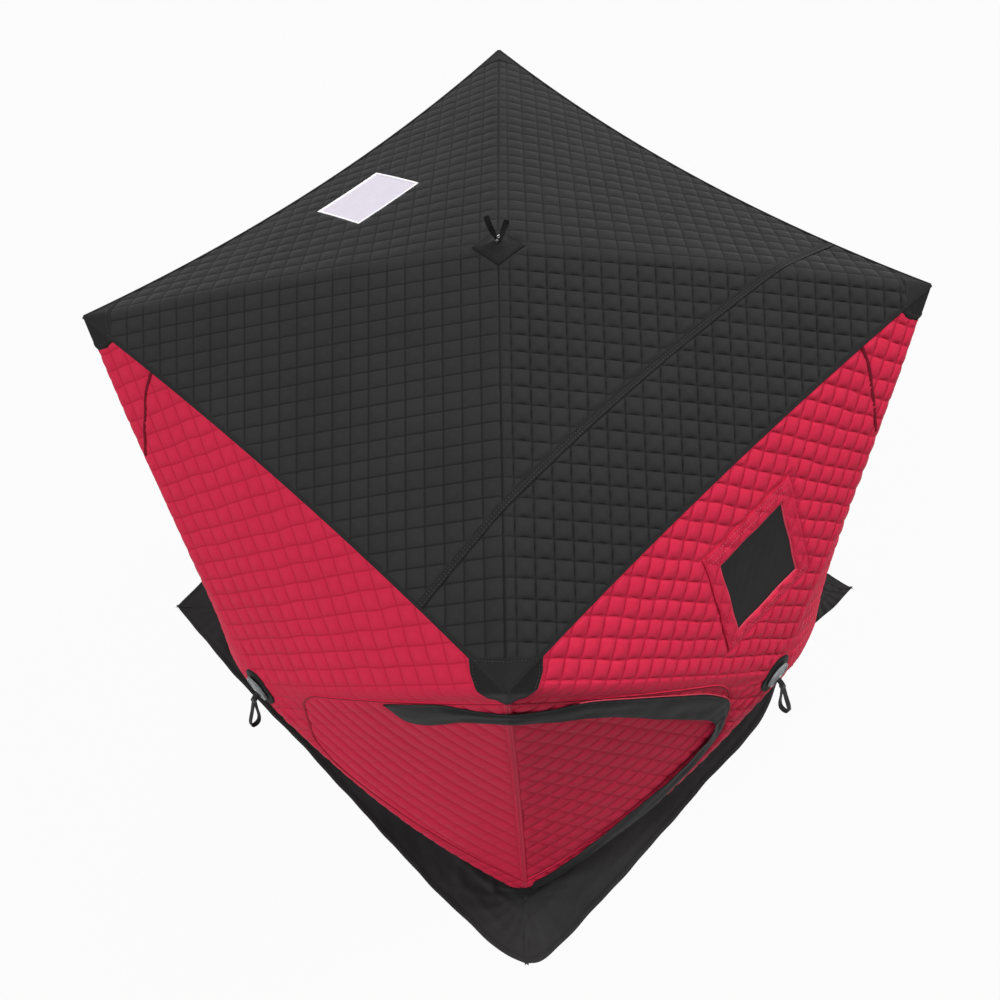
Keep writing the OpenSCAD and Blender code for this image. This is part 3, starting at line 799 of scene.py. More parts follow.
def in_door(p, q):
    """Whether a point of the corner surface is in the door."""
    p = np.where(p > 1, 2 - p, p)
    t = np.maximum(p, 1e-9)
    s = (1 - q / t) / 2
    between = (p > abs(q)) & (s > DOOR_TOP) & (s < DOOR_BOTTOM)
    return between & (t > door_end_t(np.clip(s, DOOR_TOP, DOOR_BOTTOM)))


def door_half_outline(step):
    """The outline of the door's front half, from its upper corner round the hub end to its lower corner."""
    s = np.linspace(DOOR_TOP, DOOR_BOTTOM, 400)
    t = door_end_t(s)
    upper, lower = (1, 1 - 2 * DOOR_TOP), (1, 1 - 2 * DOOR_BOTTOM)
    return spaced(np.concatenate([[upper], np.stack([t, t * (1 - 2 * s)], -1), [lower]]), step)


DOOR_HALF = door_half_outline(RIM_STEP)
DOOR_OUTLINE = np.concatenate([DOOR_HALF, (DOOR_HALF * [-1, 1] + [2, 0])[-2:0:-1]])
HOLE = HUB_HOLE * np.array(round_section(1, 1, 48))
FRAME_BOX = (-0.2143, 0.2143, 0.373, 0.795)
PATCH_EDGE = np.array(  # scalloped lower edge of an eave patch on a wall, from the eave to the corner edge
    [
        (0.845, 1), (0.872, 0.955), (0.909, 0.924), (0.929, 0.926), (0.947, 0.908), (0.970, 0.918), (0.986, 0.900),
        (1, 0.898),
    ]
)
# The upright seam near the outer end of the front and the right wall's upper panel, from the eave to the rod.
SEAM_PATH = np.array([(0.649, 0.996), (0.657, 0.93), (0.658, 0.88), (0.652, 0.824), (0.644, 0.752), (0.634, 0.66)])
EDGE_FADE = 0.014  # how far the pillows take to rise from a cloth's outline
DOOR_SIGN = {0: 1, 1: -1}  # the sign of p on the door's side of a wall that has half the door


def under_patch(p, q):
    """1 where an eave or base patch lies over a wall, falling to 0 beside it."""
    x = abs(p)
    eave = np.clip((q - np.interp(x, *PATCH_EDGE.T)) / 0.012 + 1, 0, 1) * (x > 0.83)
    return eave + np.clip((-q + x - 1.93) / 0.012 + 1, 0, 1) * (q < -0.8)


def wall_relief(side, quilting):
    def relief(p, q, away):
        rise, crease_and_shade = quilting.cells(p, q)
        t = np.maximum(abs(p), abs(q))
        rod_gap = abs(abs(q) - abs(p)) * 0.64
        beside = abs(p) > abs(q)
        upper = np.where(q > 0, bump(rod_gap, np.where(beside, 0.055, 0.016)), 0)
        lower = np.where(q < 0, bump(rod_gap, 0.016), 0)
        fade = smooth_step(away / EDGE_FADE) * (1 - 0.8 * upper) * (1 - 0.5 * lower)
        fade = fade * (1 - np.clip(under_patch(p, q), 0, 1))
        if side == 1:
            fade = fade * ~in_box(p, q, FRAME_BOX, 0.012)
        if side in DOOR_SIGN:
            gap = abs(-p * DOOR_SIGN[side] - np.interp(q, *SEAM_PATH[::-1, ::-1].T)) * HALF_EAVE
            fade = fade * np.where(q > 0.64, smooth_step((gap - 0.003) / 0.008), 1)
        off_hub = smooth_step((np.hypot(p, q) - 0.076) / 0.022)
        fade = fade * off_hub * smooth_step((q + 0.975) / 0.03)
        height = WALL_RISE[side] * rise * fade * (1 + 0.14 * ripple(3 * p, 3 * q, side))
        # Puckers round the hub, slow waves, and fine tension folds beside the upper rods
        height += 0.0022 * np.sin(np.arctan2(q, p) * 22 + side) * bump(t - 0.12, 0.10) * off_hub
        height += 0.0014 * ripple(p, q, 5 + side) * smooth_step(away / 0.05) * off_hub
        tension = np.where((q > 0) & beside, bump(rod_gap, 0.05), 0) * smooth_step(away / 0.02)
        height += 0.0011 * tension * np.sin(q * 190 + 3 * np.sin(9 * p))
        return height, crease_and_shade * np.clip(fade, 0, 1), rise * fade

    return relief


def wall_openings(side):
    """The outlines in a wall, besides its own, and the function that says where there is cloth."""
    loops, flip = [HOLE], DOOR_SIGN.get(side)
    if flip:
        loops.append(DOOR_HALF[1:-1] * [flip, 1])
    if side == 1:
        loops.append(outline_of(WALL_WINDOW, RIM_STEP))

    def inside(p, q):
        cloth = np.hypot(p, q) > HUB_HOLE * 0.998
        if flip:
            cloth &= ~in_door(flip * p, q)
        if side == 1:
            cloth &= ~in_box(p, q, WALL_WINDOW)
        return cloth

    return loops, inside


def wall_rim(side, loops):
    edge = outline_of(SQUARE, RIM_STEP)
    flip = DOOR_SIGN.get(side)
    if flip:
        on_door = (edge[:, 0] * flip > 0.9999) & (edge[:, 1] < 1 - 2 * DOOR_TOP + 1e-6)
        on_door &= edge[:, 1] > 1 - 2 * DOOR_BOTTOM - 1e-6
        edge = edge[~on_door]
        edge = edge[distance_to(DOOR_HALF * [flip, 1], edge) > 0.0015]
        edge = np.concatenate([edge, DOOR_HALF[[0, -1]] * [flip, 1]])
    return np.concatenate([edge] + loops)


def build_wall(side):
    quilting = wall_quilting(side)
    loops, inside = wall_openings(side)
    made = fabric(
        f"{SIDES[side]}_wall_cloth", lambda p, q: turned(wall_cloth(p, q), side), wall_rim(side, loops), inside,
        quilting.points(in_square), wall_relief(side, quilting), [red_cloth, lining_grey],
    )
    declare(made, f"{SIDES[side]}_wall")


# ---- roof ----

ROOF_RISE = [0.0050, 0.0088, 0.0066, 0.0052]
ROOF_HOLE = HUB_HOLE * 0.9
PATCH_RIDGE = 0.934  # where an eave patch ends on its ridge
ROOF_PATCH = 0.058  # half the width of the patch on the roof hub, in p and q


def roof_seam_p(q):
    """Where the cross seam lies: straight, but bent a little towards the apex between the rods."""
    inner = np.clip(1 - (q / SEAM_P) ** 2, 0, 1)
    return SEAM_P - 0.014 * inner


def roof_relief(quilting):
    def relief(p, q, away):
        rise, crease_and_shade = quilting.cells(p, q)
        plus, minus = (p + q) / ROOT_2, (p - q) / ROOT_2
        panels = [(plus < 0) & (minus > 0), (plus >= 0) & (minus > 0), (plus >= 0) & (minus <= 0)]
        side_rise = np.select(panels, ROOF_RISE[:3], ROOF_RISE[3])
        fade = smooth_step(away / EDGE_FADE)
        fade = fade * (1 - 0.55 * bump(minus, 0.016)) * (1 - 0.4 * bump(plus, 0.012))
        fade = fade * smooth_step((abs(p - roof_seam_p(q)) * HALF_EAVE - 0.010) / 0.010)
        fade = fade * smooth_step((np.maximum(abs(p), abs(q)) - ROOF_PATCH) / 0.02)
        x, y = abs(p), abs(q)
        patch_gap = (PATCH_RIDGE * 2 - (x + y)) + 0.19 * abs(x - y)
        fade = fade * np.where(np.minimum(x, y) > 0.8, smooth_step(patch_gap / 0.012), 1)
        ridge = np.where(abs(plus) < 1e-6, 1.0, 0.0)
        height = side_rise * rise * fade * (1 + 0.14 * ripple(3 * p, 3 * q, 9))
        height += 0.0018 * ripple(p, q, 2) * smooth_step(away / 0.05)
        return height, np.maximum(crease_and_shade * fade, ridge * 0.6), rise * fade

    return relief


def build_roof():
    plus = sewn_lines((0, 0.0545, FAMILY_SPAN[0], 0.001), (0.030, 0.0528, 0.029, FAMILY_SPAN[1]))
    minus = sewn_lines((0.034, 0.0538, *FAMILY_SPAN))
    quilting = Quilting([(0.91 / ROOT_2, 0.912 / ROOT_2), (0.91 / ROOT_2, -0.912 / ROOT_2)], [plus, minus])
    rim = np.concatenate([outline_of(SQUARE, RIM_STEP), outline_of(ROOF_WINDOW, RIM_STEP), HOLE * 0.9])

    def inside(p, q):
        return (np.hypot(p, q) > ROOF_HOLE * 0.998) & ~in_box(p, q, ROOF_WINDOW)

    made = fabric(
        "roof_cloth", soft_roof, rim, inside, quilting.points(in_square), roof_relief(quilting),
        [roof_black, lining_grey],
    )
    declare(made, "roof_canopy")


# ---- door ----

DOOR_RISE = 0.0054


def build_door():
    plus, minus = (0.923 / ROOT_2, 0.93 / ROOT_2), (0.923 / ROOT_2, -0.93 / ROOT_2)
    front = Quilting([plus, minus], [sewn_lines((first, 0.070, -0.4, 1.5)) for first in (0.79, 0.02)])
    # The right half is laid out on the mirrored front half, so its second family leans the other way.
    lean = 0.17
    second = (-minus[0] - lean * plus[0], -minus[1] - lean * plus[1])
    right_lines = [sewn_lines((0.8035, 0.0645, -0.4, 1.5)), sewn_lines((-0.3766, 0.068, -1.9, 0.8))]
    right = Quilting([plus, second], right_lines)

    def in_half(p, q):
        return (p > 0.2) & (p < 1 - RIM_CLEAR) & (abs(q) < 1)

    middle = np.stack([np.full(330, 1.0), np.linspace(0.9, -0.86, 332)[1:-1]], -1)
    fine = np.concatenate([front.points(in_half), right.points(in_half) * [-1, 1] + [2, 0], middle])

    def relief(p, q, away):
        a = front.cells(p, q, (1, 0.25))
        b = right.cells(2 - p, q, (0.9, 0.75))
        rise, crease_and_shade = (np.where(p <= 1, x, y) for x, y in zip(a, b))
        edge = abs(p - 1) * HALF_EAVE
        fade = smooth_step(away / EDGE_FADE) * smooth_step((edge - 0.004) / 0.014)
        height = DOOR_RISE * rise * fade * (1 + 0.15 * ripple(2 * p, 3 * q, 4))
        height += 0.0022 * ripple(1.5 * p, 1.5 * q, 8) * smooth_step(away / 0.05)
        return height, crease_and_shade * fade, rise * fade

    made = fabric(
        "corner_door_cloth", soft_corner, DOOR_OUTLINE, in_door, fine, relief, [red_cloth, lining_grey],
    )
    declare(made, "corner_door")


# ---- windows ----


FILM_T, FILM_DEPTH, FILM_TUCK = 0.0012, 0.0012, 0.006


def film(name, surface, box, look, node, times=0):
    """A window's plastic sheet, a little slack, set into the cloth."""
    x0, x1, y0, y1 = box
    p = np.linspace(x0 - FILM_TUCK, x1 + FILM_TUCK, 40)
    p, q = np.meshgrid(p, np.linspace(y0 - FILM_TUCK, y1 + FILM_TUCK, 40))
    u, v = np.clip((p - x0) / (x1 - x0), 0, 1), np.clip((q - y0) / (y1 - y0), 0, 1)
    slack = 0.0015 * np.sin(pi * u) * np.sin(pi * v) * ripple(4 * p, 4 * q, 3)
    outer, inner = (
        turned(shifted(surface(p, q), slack - depth), times) for depth in (FILM_DEPTH, FILM_DEPTH + FILM_T)
    )
    declare(shell(name, outer, inner, look), node=node)


BINDING = ((-0.25, 0.0006), (-0.2, 0.0016), (0.25, 0.0022), (0.8, 0.0016), (1.0, -0.0016))  # share across, height


def window_binding(name, surface, box, width, look, times=0):
    """The folded edge round a window, drawn in a little over the sheet."""
    x0, x1, y0, y1 = box
    path = outline_of(box, 0.012)
    middle = np.array([(x0 + x1) / 2, (y0 + y1) / 2])
    half = np.array([(x1 - x0) / 2, (y1 - y0) / 2])
    rows = []
    for across, height in BINDING:
        at = middle + (path - middle) * (1 - across * width / HALF_EAVE / half)
        rows.append(shifted(surface(*at.T), height))
    rows = np.array(rows + [shifted(rows[-1], -0.001)])
    shell(name, turned(rows, times), turned(shifted(rows, -0.0012), times), look, wrap=True)


def right_wall(p, q):
    return turned(wall_cloth(p, q), 1)


def build_windows():
    film("roof_window_film", soft_roof, ROOF_WINDOW, clear_film, "roof_window")
    window_binding("roof_window_edge", soft_roof, ROOF_WINDOW, 0.006, white_edge)
    film("wall_window_film", wall_cloth, WALL_WINDOW, dark_film, "wall_window", 1)
    window_binding("wall_window_edge", wall_cloth, WALL_WINDOW, 0.0045, hem_red, 1)


def build_window_frame():
    quilting = wall_quilting(1)
    x0, x1, y0, y1 = FRAME_BOX
    rim = np.concatenate([outline_of(box, RIM_STEP) for box in (FRAME_BOX, WALL_WINDOW)])

    def inside(p, q):
        return in_box(p, q, FRAME_BOX) & ~in_box(p, q, WALL_WINDOW)

    def relief(p, q, away):
        rise, crease_and_shade = quilting.cells(p, q)
        fade = smooth_step(away / 0.010)
        side_gap = np.minimum(abs(p - x0), abs(p - x1)) * HALF_EAVE
        cross_gap = np.minimum(abs(q - y0), abs(q - y1)) * HALF_EAVE
        height = 0.0036 * rise * fade + 0.0026 * bump(side_gap - 0.005, 0.005) * smooth_step(away / 0.004)
        gather = bump(cross_gap - 0.022, 0.016) * smooth_step(away / 0.008)
        height += 0.0012 * gather * np.sin(150 * p + 60 * q + 2 * np.sin(31 * p))
        # Painted shade: the grooves beside the frame's edges are darkened as well as sunk.
        groove = np.clip(1 - abs(side_gap - 0.0135) / 0.0035, 0, 1)
        groove = np.maximum(groove, np.clip(1 - abs(cross_gap - 0.010) / 0.004, 0, 1) * 0.8)
        return height - 0.0012 * groove, np.maximum(crease_and_shade * fade, 0.8 * groove), rise * fade

    fine = quilting.points(lambda p, q: in_box(p, q, FRAME_BOX))
    more = grid_of(np.arange(x0, x1, 0.0085), np.arange(y0, y1, 0.0085)) + 0.003
    fine = np.concatenate([fine, more[distance_to(fine, more) > 0.004]])
    looks = [red_cloth, red_cloth]
    made = fabric("wall_window_frame_cloth", right_wall, rim, inside, fine, relief, looks, thick=0.0026, lift=0.0034)
    declare(made, "wall_window_frame")
    p = np.linspace(x0 + 0.02, x1 - 0.02, 60)
    lines = ((y1 - 0.011, 0.0058), (y1 - 0.033, 0.0072), (y0 + 0.011, 0.0058), (y0 + 0.028, 0.0072))
    rows = [shifted(right_wall(p, np.full(60, q)), height) for q, height in lines]
    stitches("wall_window_frame_stitching", rows, red_thread, step=0.011, length=0.0075)


# ---- seams and edges ----


def hump(height, floor=0.0006):
    """The height of a narrow strip that is thickest in its middle."""
    return lambda across, along: floor + height * np.sqrt(np.clip(1 - (2 * across - 1) ** 2, 0, 1))


def welted(height, rolls, roll_height, width=0.09, floor=0.0006):
    """The height of a flat strip with raised rolls along it, at these shares of its width."""

    def profile(across, along):
        edge = smooth_step(np.minimum(across, 1 - across) / 0.06)
        out = height * edge
        for roll in rolls:
            out = out + roll_height * bump(across - roll, width) * edge
        return floor + out

    return profile


def lines_at(places, width=0.035, strength=1.0):
    """Sewn lines at these shares of a strip's width, darkened partly as the real line and partly with painted shade.
    """

    def crease_and_shade(across, along):
        near = np.min([abs(across - place) for place in places], axis=0)
        return strength * np.clip(1 - near / width, 0, 1)

    return crease_and_shade


def declare_strip(made, node=None):
    declare(made, node)


def build_roof_seams():
    q = np.linspace(-0.998, 0.998, 260)
    centre = np.stack([roof_seam_p(q), q], -1)
    made = ribbon(
        "roof_cross_seam", soft_roof, centre, 0.0125, 16, welted(0.0028, (0.14, 0.86), 0.0022), plain_black,
        crease_and_shade=lines_at((0.3, 0.7), 0.06),
    )
    declare_strip(made, "roof_seam")
    rows = [shifted(soft_roof(*offset_line(centre, d).T), 0.0040) for d in (-0.0050, 0.0050)]
    stitches("roof_cross_seam_stitching", rows, black_thread)
    t = np.linspace(0.05, PATCH_RIDGE + 0.01, 160)
    for name, sign in (("near_ridge_seam", 1), ("far_ridge_seam", -1)):
        made = ribbon(
            name, soft_roof, np.stack([sign * t, -sign * t], -1), 0.0028, 6, hump(0.0018), plain_black,
            crease_and_shade=lines_at((0.5,), 0.5),
        )
        declare_strip(made)


def build_eave_edges():
    p = np.linspace(-0.996, 0.996, 140)
    path = shifted(soft_roof(p, np.full(len(p), -1.0)), 0.0022)
    for side, name in enumerate(SIDES):
        section = round_section(0.0036, 0.0044, 10)
        made = sweep(f"{name}_eave_piping_cord", path, (0, 0, 1), section, plain_black, side)
        if side == 0:  # the CAD model has one piping for all four sides
            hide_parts("eave_piping")


def build_corner_seams():
    """The felled seam that joins two walls, down each corner edge."""
    q = np.linspace(0.905, -0.955, 200)
    edge = np.stack([np.ones(len(q)), q], -1)
    for k, name in enumerate(CORNERS):
        made = ribbon(
            f"{name}_corner_seam", soft_corner, edge, 0.0112, 14, welted(0.0014, (0.2, 0.8), 0.0012, 0.12), red_cloth,
            times=k - 1, crease_and_shade=lines_at((0.36, 0.64), 0.07, 0.8),
        )
        declare_strip(made)
        rows = [turned(shifted(soft_corner(*offset_line(edge, d).T), 0.0026), k - 1) for d in (-0.0031, 0.0031)]
        stitches(f"{name}_corner_seam_stitching", rows, red_thread)


def smooth_path(points, count):
    """A smooth curve through the points, by cubic interpolation."""
    points = np.asarray(points, float)
    run = run_of(points)
    slope = np.gradient(points, run, axis=0)
    at = np.linspace(0, run[-1], count)
    i = np.clip(np.searchsorted(run, at, side="right") - 1, 0, len(run) - 2)
    h = (run[i + 1] - run[i])[:, None]
    f = (at - run[i])[:, None] / h
    return (
        (2 * f**3 - 3 * f**2 + 1) * points[i] + (f**3 - 2 * f**2 + f) * h * slope[i]
        + (3 * f**2 - 2 * f**3) * points[i + 1] + (f**3 - f**2) * h * slope[i + 1]
    )


def build_wall_seams():
    """The upright seam near the outer end of the upper panel of the front and the right wall."""
    for side, sign in DOOR_SIGN.items():
        made = ribbon(
            f"{SIDES[side]}_wall_panel_seam", wall_cloth, smooth_path(SEAM_PATH * [-sign, 1], 60), 0.0036, 8,
            welted(0.0030, (0.2, 0.8), 0.0010, 0.2), seam_red, side, lines_at((0.5,), 0.25),
        )
        declare_strip(made)


# ---- patches ----


def fan_line(middle, rim, share):
    """The rim drawn in towards its middle. Each rim point is (surface, u, v)."""
    line = []
    for surface, u, v in rim:
        at = middle[surface] + (np.array([u, v]) - middle[surface]) * share
        line.append(surface(at[:1], at[1:])[0])
    return np.array(line)


def fan_patch(name, middle, rim, rows, profile, look, times, thick=0.0016):
    """A patch that spreads from its middle to a closed rim."""
    shares = np.linspace(0, 1, rows + 1) ** 0.9
    outer = np.array([shifted(fan_line(middle, rim, share), profile(share)) for share in shares])
    flat = (outer - outer[0, 0])[..., :2]
    outer, inner = turned(outer, times), turned(shifted(outer, -thick), times)
    return shell(name, outer, inner, look, wrap=True, flat=flat)


def rim_of(surface, corners, step=0.006):
    return [(surface, u, v) for u, v in spaced(corners, step)[:-1]]


def bound_edge(share):
    """A patch's height from its middle to its rim: flat, with a bound edge that rolls down."""
    return 0.0030 + 0.0014 * bump(share - 0.955, 0.03) - 0.0022 * smooth_step((share - 0.97) / 0.03)


def build_eave_patches():
    back = (PATCH_EDGE * [-1, 1] + [2, 0])[::-1]
    ridge = [(1, -0.845), (0.968, -0.892), (PATCH_RIDGE, -PATCH_RIDGE), (0.892, -0.968), (0.845, -1)]
    rim = rim_of(soft_roof, ridge) + rim_of(soft_corner, PATCH_EDGE) + rim_of(soft_corner, back)
    middle = {soft_roof: np.array([1.0, -1.0]), soft_corner: np.array([1.0, 1.0])}
    row = shifted(fan_line(middle, rim + rim[:1], 0.90), 0.0036)
    for k, name in enumerate(CORNERS):
        made = fan_patch(f"{name}_eave_patch_cloth", middle, rim, 22, bound_edge, plain_black, k - 1)
        declare(made, f"{name}_eave_patch")
        stitches(f"{name}_eave_patch_stitching", [turned(row, k - 1)], black_thread)


def build_base_patches():
    left = [
        (0.93, -1), (0.936, -0.955), (0.948, -0.944), (0.955, -0.930), (0.972, -0.937), (0.985, -0.916), (1, -0.92),
    ]
    right = [(2 - u, v) for u, v in left[::-1]]
    rim = [point for line in (left, right, [right[-1], left[0]]) for point in rim_of(soft_corner, line)]
    middle = {soft_corner: np.array([1.0, -0.985])}

    def profile(share):
        return bound_edge(share) + 0.005

    for k, name in enumerate(CORNERS):
        patch = f"{name}_base_patch"
        made = fan_patch(f"{patch}_cloth", middle, rim, 10, profile, plain_black, k - 1)
        declare(made, node=patch)


def build_roof_patch():
    across = np.linspace(-ROOF_PATCH, ROOF_PATCH, 49)
    p, q = np.meshgrid(across, across)
    edge = 1 - np.maximum(abs(p), abs(q)) / ROOF_PATCH
    r = np.hypot(p, q) * HALF_EAVE
    height = 0.0016 + 0.0026 * smooth_step(edge / 0.06) + 0.0075 * smooth_step((0.036 - r) / 0.022)
    height += 0.0006 * ripple(20 * p, 20 * q, 1) * smooth_step(edge / 0.2)
    outer, inner = (shifted(soft_roof(p, q), height - depth) for depth in (0, 0.0014))
    # Painted shade: a darker band just inside the patch's raised edge.
    dark = np.clip(1 - abs(edge - 0.07) / 0.05, 0, 1)
    made = shell("roof_patch_cloth", outer, inner, plain_black, crease_and_shade=dark)
    declare(made, "roof_patch")
    limit = ROOF_PATCH * 0.985
    path = outline_of((-limit, limit, -limit, limit), 0.006)
    path = shifted(soft_roof(*np.concatenate([path, path[:2]]).T), 0.0030)
    sweep("roof_patch_piping", path, (0, 0, 1), round_section(0.0016, 0.0016, 8), plain_black)


# ---- hubs, straps and loops ----


def build_hub_rings():
    aim = np.array(round_section(1, 1, 72))
    reach = np.linalg.norm(front_wall(*(aim * 0.05).T) - HUB, axis=1) / 0.05
    profile = [  # radius, height
        (0.036, 0.0036), (0.040, 0.0036), (0.048, 0.0036), (0.056, 0.0036), (0.063, 0.0036), (0.0665, 0.0046),
        (0.069, 0.0050), (0.0708, 0.0038), (0.072, 0.0012),
    ]
    rows = np.array([shifted(wall_cloth(*(aim * (r / reach)[:, None]).T), height) for r, height in profile])
    for side, name in enumerate(SIDES):
        outer = turned(rows, side)
        made = shell(f"{name}_hub_ring", outer, shifted(outer, -0.0016), plain_black, wrap=True)
        declare(made, f"{name}_hub_patch")


def lathe(name, rings, place, axis_turn, look, sides=64):
    """A turned part on a hub's outer face. rings are (radius, height) from its rim to its middle."""
    around = np.array(round_section(1, 1, sides))
    rows = np.array([np.insert(around * r, 1, -h, axis=1) + place for r, h in rings])
    ends = np.array([place + [0, -rings[end][1], 0] for end in (0, -1)])
    flat = (np.concatenate([rows.reshape(-1, 3), ends]) - place)[:, [0, 2]]
    closed_rings(name, turned(rows, axis_turn), turned(ends, axis_turn), flat, look, sharp=35)


PLATE_H = 0.005  # of a wall hub's plate, outside its centre


def build_hub_caps():
    """The moulded face of each wall hub: a stepped rim, a dished ring and a boss with a screw."""
    face = [
        (0.0472, 0.0002), (0.0472, 0.0016), (0.0462, 0.0026), (0.0430, 0.0030), (0.0405, 0.0028), (0.0392, 0.0008),
        (0.0300, 0.0006), (0.0250, 0.0010), (0.0205, 0.0030), (0.0180, 0.0042), (0.0140, 0.0046), (0.0085, 0.0044),
        (0.0078, 0.0030), (0.0040, 0.0030),
    ]
    screw = [
        (0.0062, 0.0030), (0.0062, 0.0052), (0.0050, 0.0060), (0.0030, 0.0062), (0.0024, 0.0050), (0.0010, 0.0050),
    ]
    place = HUB + [0, -PLATE_H, 0]
    for side, name in enumerate(SIDES):
        lathe(f"{name}_hub_face", face, place, side, hub_plastic)
        lathe(f"{name}_hub_screw", screw, place, side, metal, 6)


LOOP_W, LOOP_T = 0.018, 0.0024  # a pull loop's strap


def loop_path():
    """The middle of a pull loop's strap in (out, up): from the hub round the hanging loop and back."""
    neck, lean, bottom, r = (0.024, -0.020), radians(15), -0.126, 0.0172
    arc = [(-r * cos(a), bottom - r * sin(a)) for a in np.linspace(0, pi, 13)]
    hanging = [(-0.0035, -0.010), (-0.0075, -0.045)] + arc + [(0.0085, -0.050), (0.0035, -0.012)]
    hanging = [
        (neck[0] + x * cos(lean) - y * sin(lean), neck[1] + x * sin(lean) + y * cos(lean)) for x, y in hanging
    ]
    start, end = [(-0.002, 0.002), (0.010, -0.006), (0.020, -0.0155)], [(0.0235, -0.0125), (0.012, -0.0035)]
    return smooth_path(start + hanging + end + [(-0.002, 0.005)], 110)


def build_pull_loops():
    path = loop_path()
    count = len(path)
    place = HUB + [0, -PLATE_H, -0.024]
    points = np.stack([0.0015 * np.sin(np.linspace(0, 3, count)), -path[:, 0], path[:, 1]], -1) + place
    # The moulded tab that grips both ends of the strap just below the hub
    top, low = np.array([(0, -0.0235, -0.0195), (0, -0.0255, -0.0215)]) + place
    grip = np.array([top + (low - top) * f * 3.2 for f in np.linspace(-1, 1, 9)])
    swell = (1 - 0.12 * (np.linspace(-1, 1, 9) ** 4))[:, None, None]
    swell = swell * np.array([round_section(0.0112, 0.0058, 16, 0.6)])
    section, turn = strap_section(LOOP_W, LOOP_T), np.linspace(0, 1, count) * tau
    for side, name in enumerate(SIDES):
        across = np.stack([np.ones(count), 0.12 * np.sin(turn + side), np.zeros(count)], -1)
        made = sweep(f"{name}_pull_loop_webbing", points, across, section, black_webbing, side)
        declare(made, f"{name}_pull_loop")
        sweep(f"{name}_pull_loop_tab", grip, (1, 0, 0), swell, dark_plastic, side)


UP = np.array([0, 0, 1.0])
STRAP_TIP = 0.93  # where a strap end starts to round off


def build_roof_strap():
    """The strap on the roof hub: two ends standing up in a V, two wire rings and a knotted root."""
    across, level = np.array([1, -1, 0]) / ROOT_2, np.array([1, 1, 0]) / ROOT_2
    root = APEX + [0, 0, 0.0075]
    unit_section = np.array(strap_section(2.0, 2.0))
    unit_section = unit_section / np.abs(unit_section).max(0)
    f = np.linspace(-0.06, 1, 34)[:, None]
    tip = np.sqrt(np.clip(1 - ((f - STRAP_TIP) / 0.075) ** 2, 0.05, 1))
    width = 0.009 * np.where(f > STRAP_TIP, tip, 1) * (0.55 + 0.38 * smooth_step(f / 0.6))
    wide, thick = unit_section[None, :, 0] * width, unit_section[None, :, 1] * 0.0016 + 0 * f
    ends = (("left", "roof_strap", -20, 0.108, -0.008), ("right", None, 27, 0.090, 0.012))
    for name, node, lean, length, bend in ends:
        aim = level * sin(radians(lean)) + UP * cos(radians(lean))
        path = root + f * length * aim - bend * (f * f) * level + 0.006 * np.sin(f * 4 + lean) * across
        twist = radians(38) * (1 - smooth_step(f / 0.8)) + radians(10)
        side = level * np.cos(twist) + across * np.sin(twist) * np.sign(lean)
        section = np.stack([wide, thick], -1)
        made = sweep(f"roof_strap_{name}_end", path, side, section, black_webbing)
        declare(made, node)
    angle = np.linspace(0, tau, 25)[:, None]
    circle = 0.0042 * (np.cos(angle) * level + np.sin(angle) * UP)
    for i, (x, y, z) in enumerate(((-0.002, 0.0066, 0.010), (0.002, 0.0042, 0.024))):
        path = root + across * y + level * x + UP * z + circle
        sweep(f"roof_strap_ring_{i + 1}", path, across, round_section(0.0011, 0.0011, 8), metal)
    sizes = np.array([1.25, 1.22, 1.15, 1.05, 1.0, 0.97, 0.95, 0.93, 0.85, 0.6])
    knot = np.array([round_section(0.0105, 0.0055, 16, 0.7)]) * sizes[:, None, None]
    path = root + np.linspace(-0.004, 0.014, 10)[:, None] * UP
    sweep("roof_strap_root", path, across, knot, black_webbing)


# ---- door trim ----

# The flap over the zip: pairs of (t, s) on its outer and inner edge, from its tip round to the base corner.
# s is the share below the upper rod; beyond t = 1 the corner surface carries on over the right wall.
FLAP_EDGES = np.array(
    [
        (0.594, 0.062, 0.596, 0.066), (0.660, 0.052, 0.655, 0.140), (0.730, 0.048, 0.726, 0.158),
        (0.800, 0.050, 0.790, 0.142), (0.878, 0.070, 0.860, 0.124), (1.000, 0.088, 1.000, 0.128),
        (1.120, 0.080, 1.118, 0.136), (1.238, 0.056, 1.240, 0.132), (1.388, 0.062, 1.360, 0.165),
        (1.540, 0.085, 1.490, 0.235), (1.660, 0.125, 1.585, 0.300), (1.740, 0.230, 1.650, 0.370),
        (1.772, 0.400, 1.698, 0.470), (1.762, 0.600, 1.705, 0.580), (1.735, 0.790, 1.680, 0.690),
        (1.660, 0.920, 1.600, 0.790), (1.500, 0.976, 1.480, 0.850), (1.330, 0.986, 1.320, 0.890),
        (1.160, 0.988, 1.155, 0.930), (1.020, 0.990, 1.020, 0.952),
    ]
)


def share_point(t, s):
    """Corner surface coordinates of a point at t and s, where t beyond 1 is on the right wall."""
    return np.stack([t, np.where(t > 1, 2 - t, t) * (1 - 2 * s)], -1)


def flap_height(across, along):
    tip = smooth_step(along / 0.05) * smooth_step((1 - along) / 0.04)
    swell = 0.0045 + 0.0060 * smooth_step(across / 0.35)
    curl = 0.0050 * smooth_step((across - 0.55) / 0.45) * np.clip(np.sin((along - 0.42) * pi / 0.4), 0, 1)
    folds = 0.0013 * np.sin(along * 95 + 3 * across) * np.sin(along * 33 + 1) * smooth_step(across / 0.3)
    folds += 0.0010 * np.sin(across * 9 + along * 40)
    return (swell + curl + folds) * (0.35 + 0.65 * tip) + 0.0030


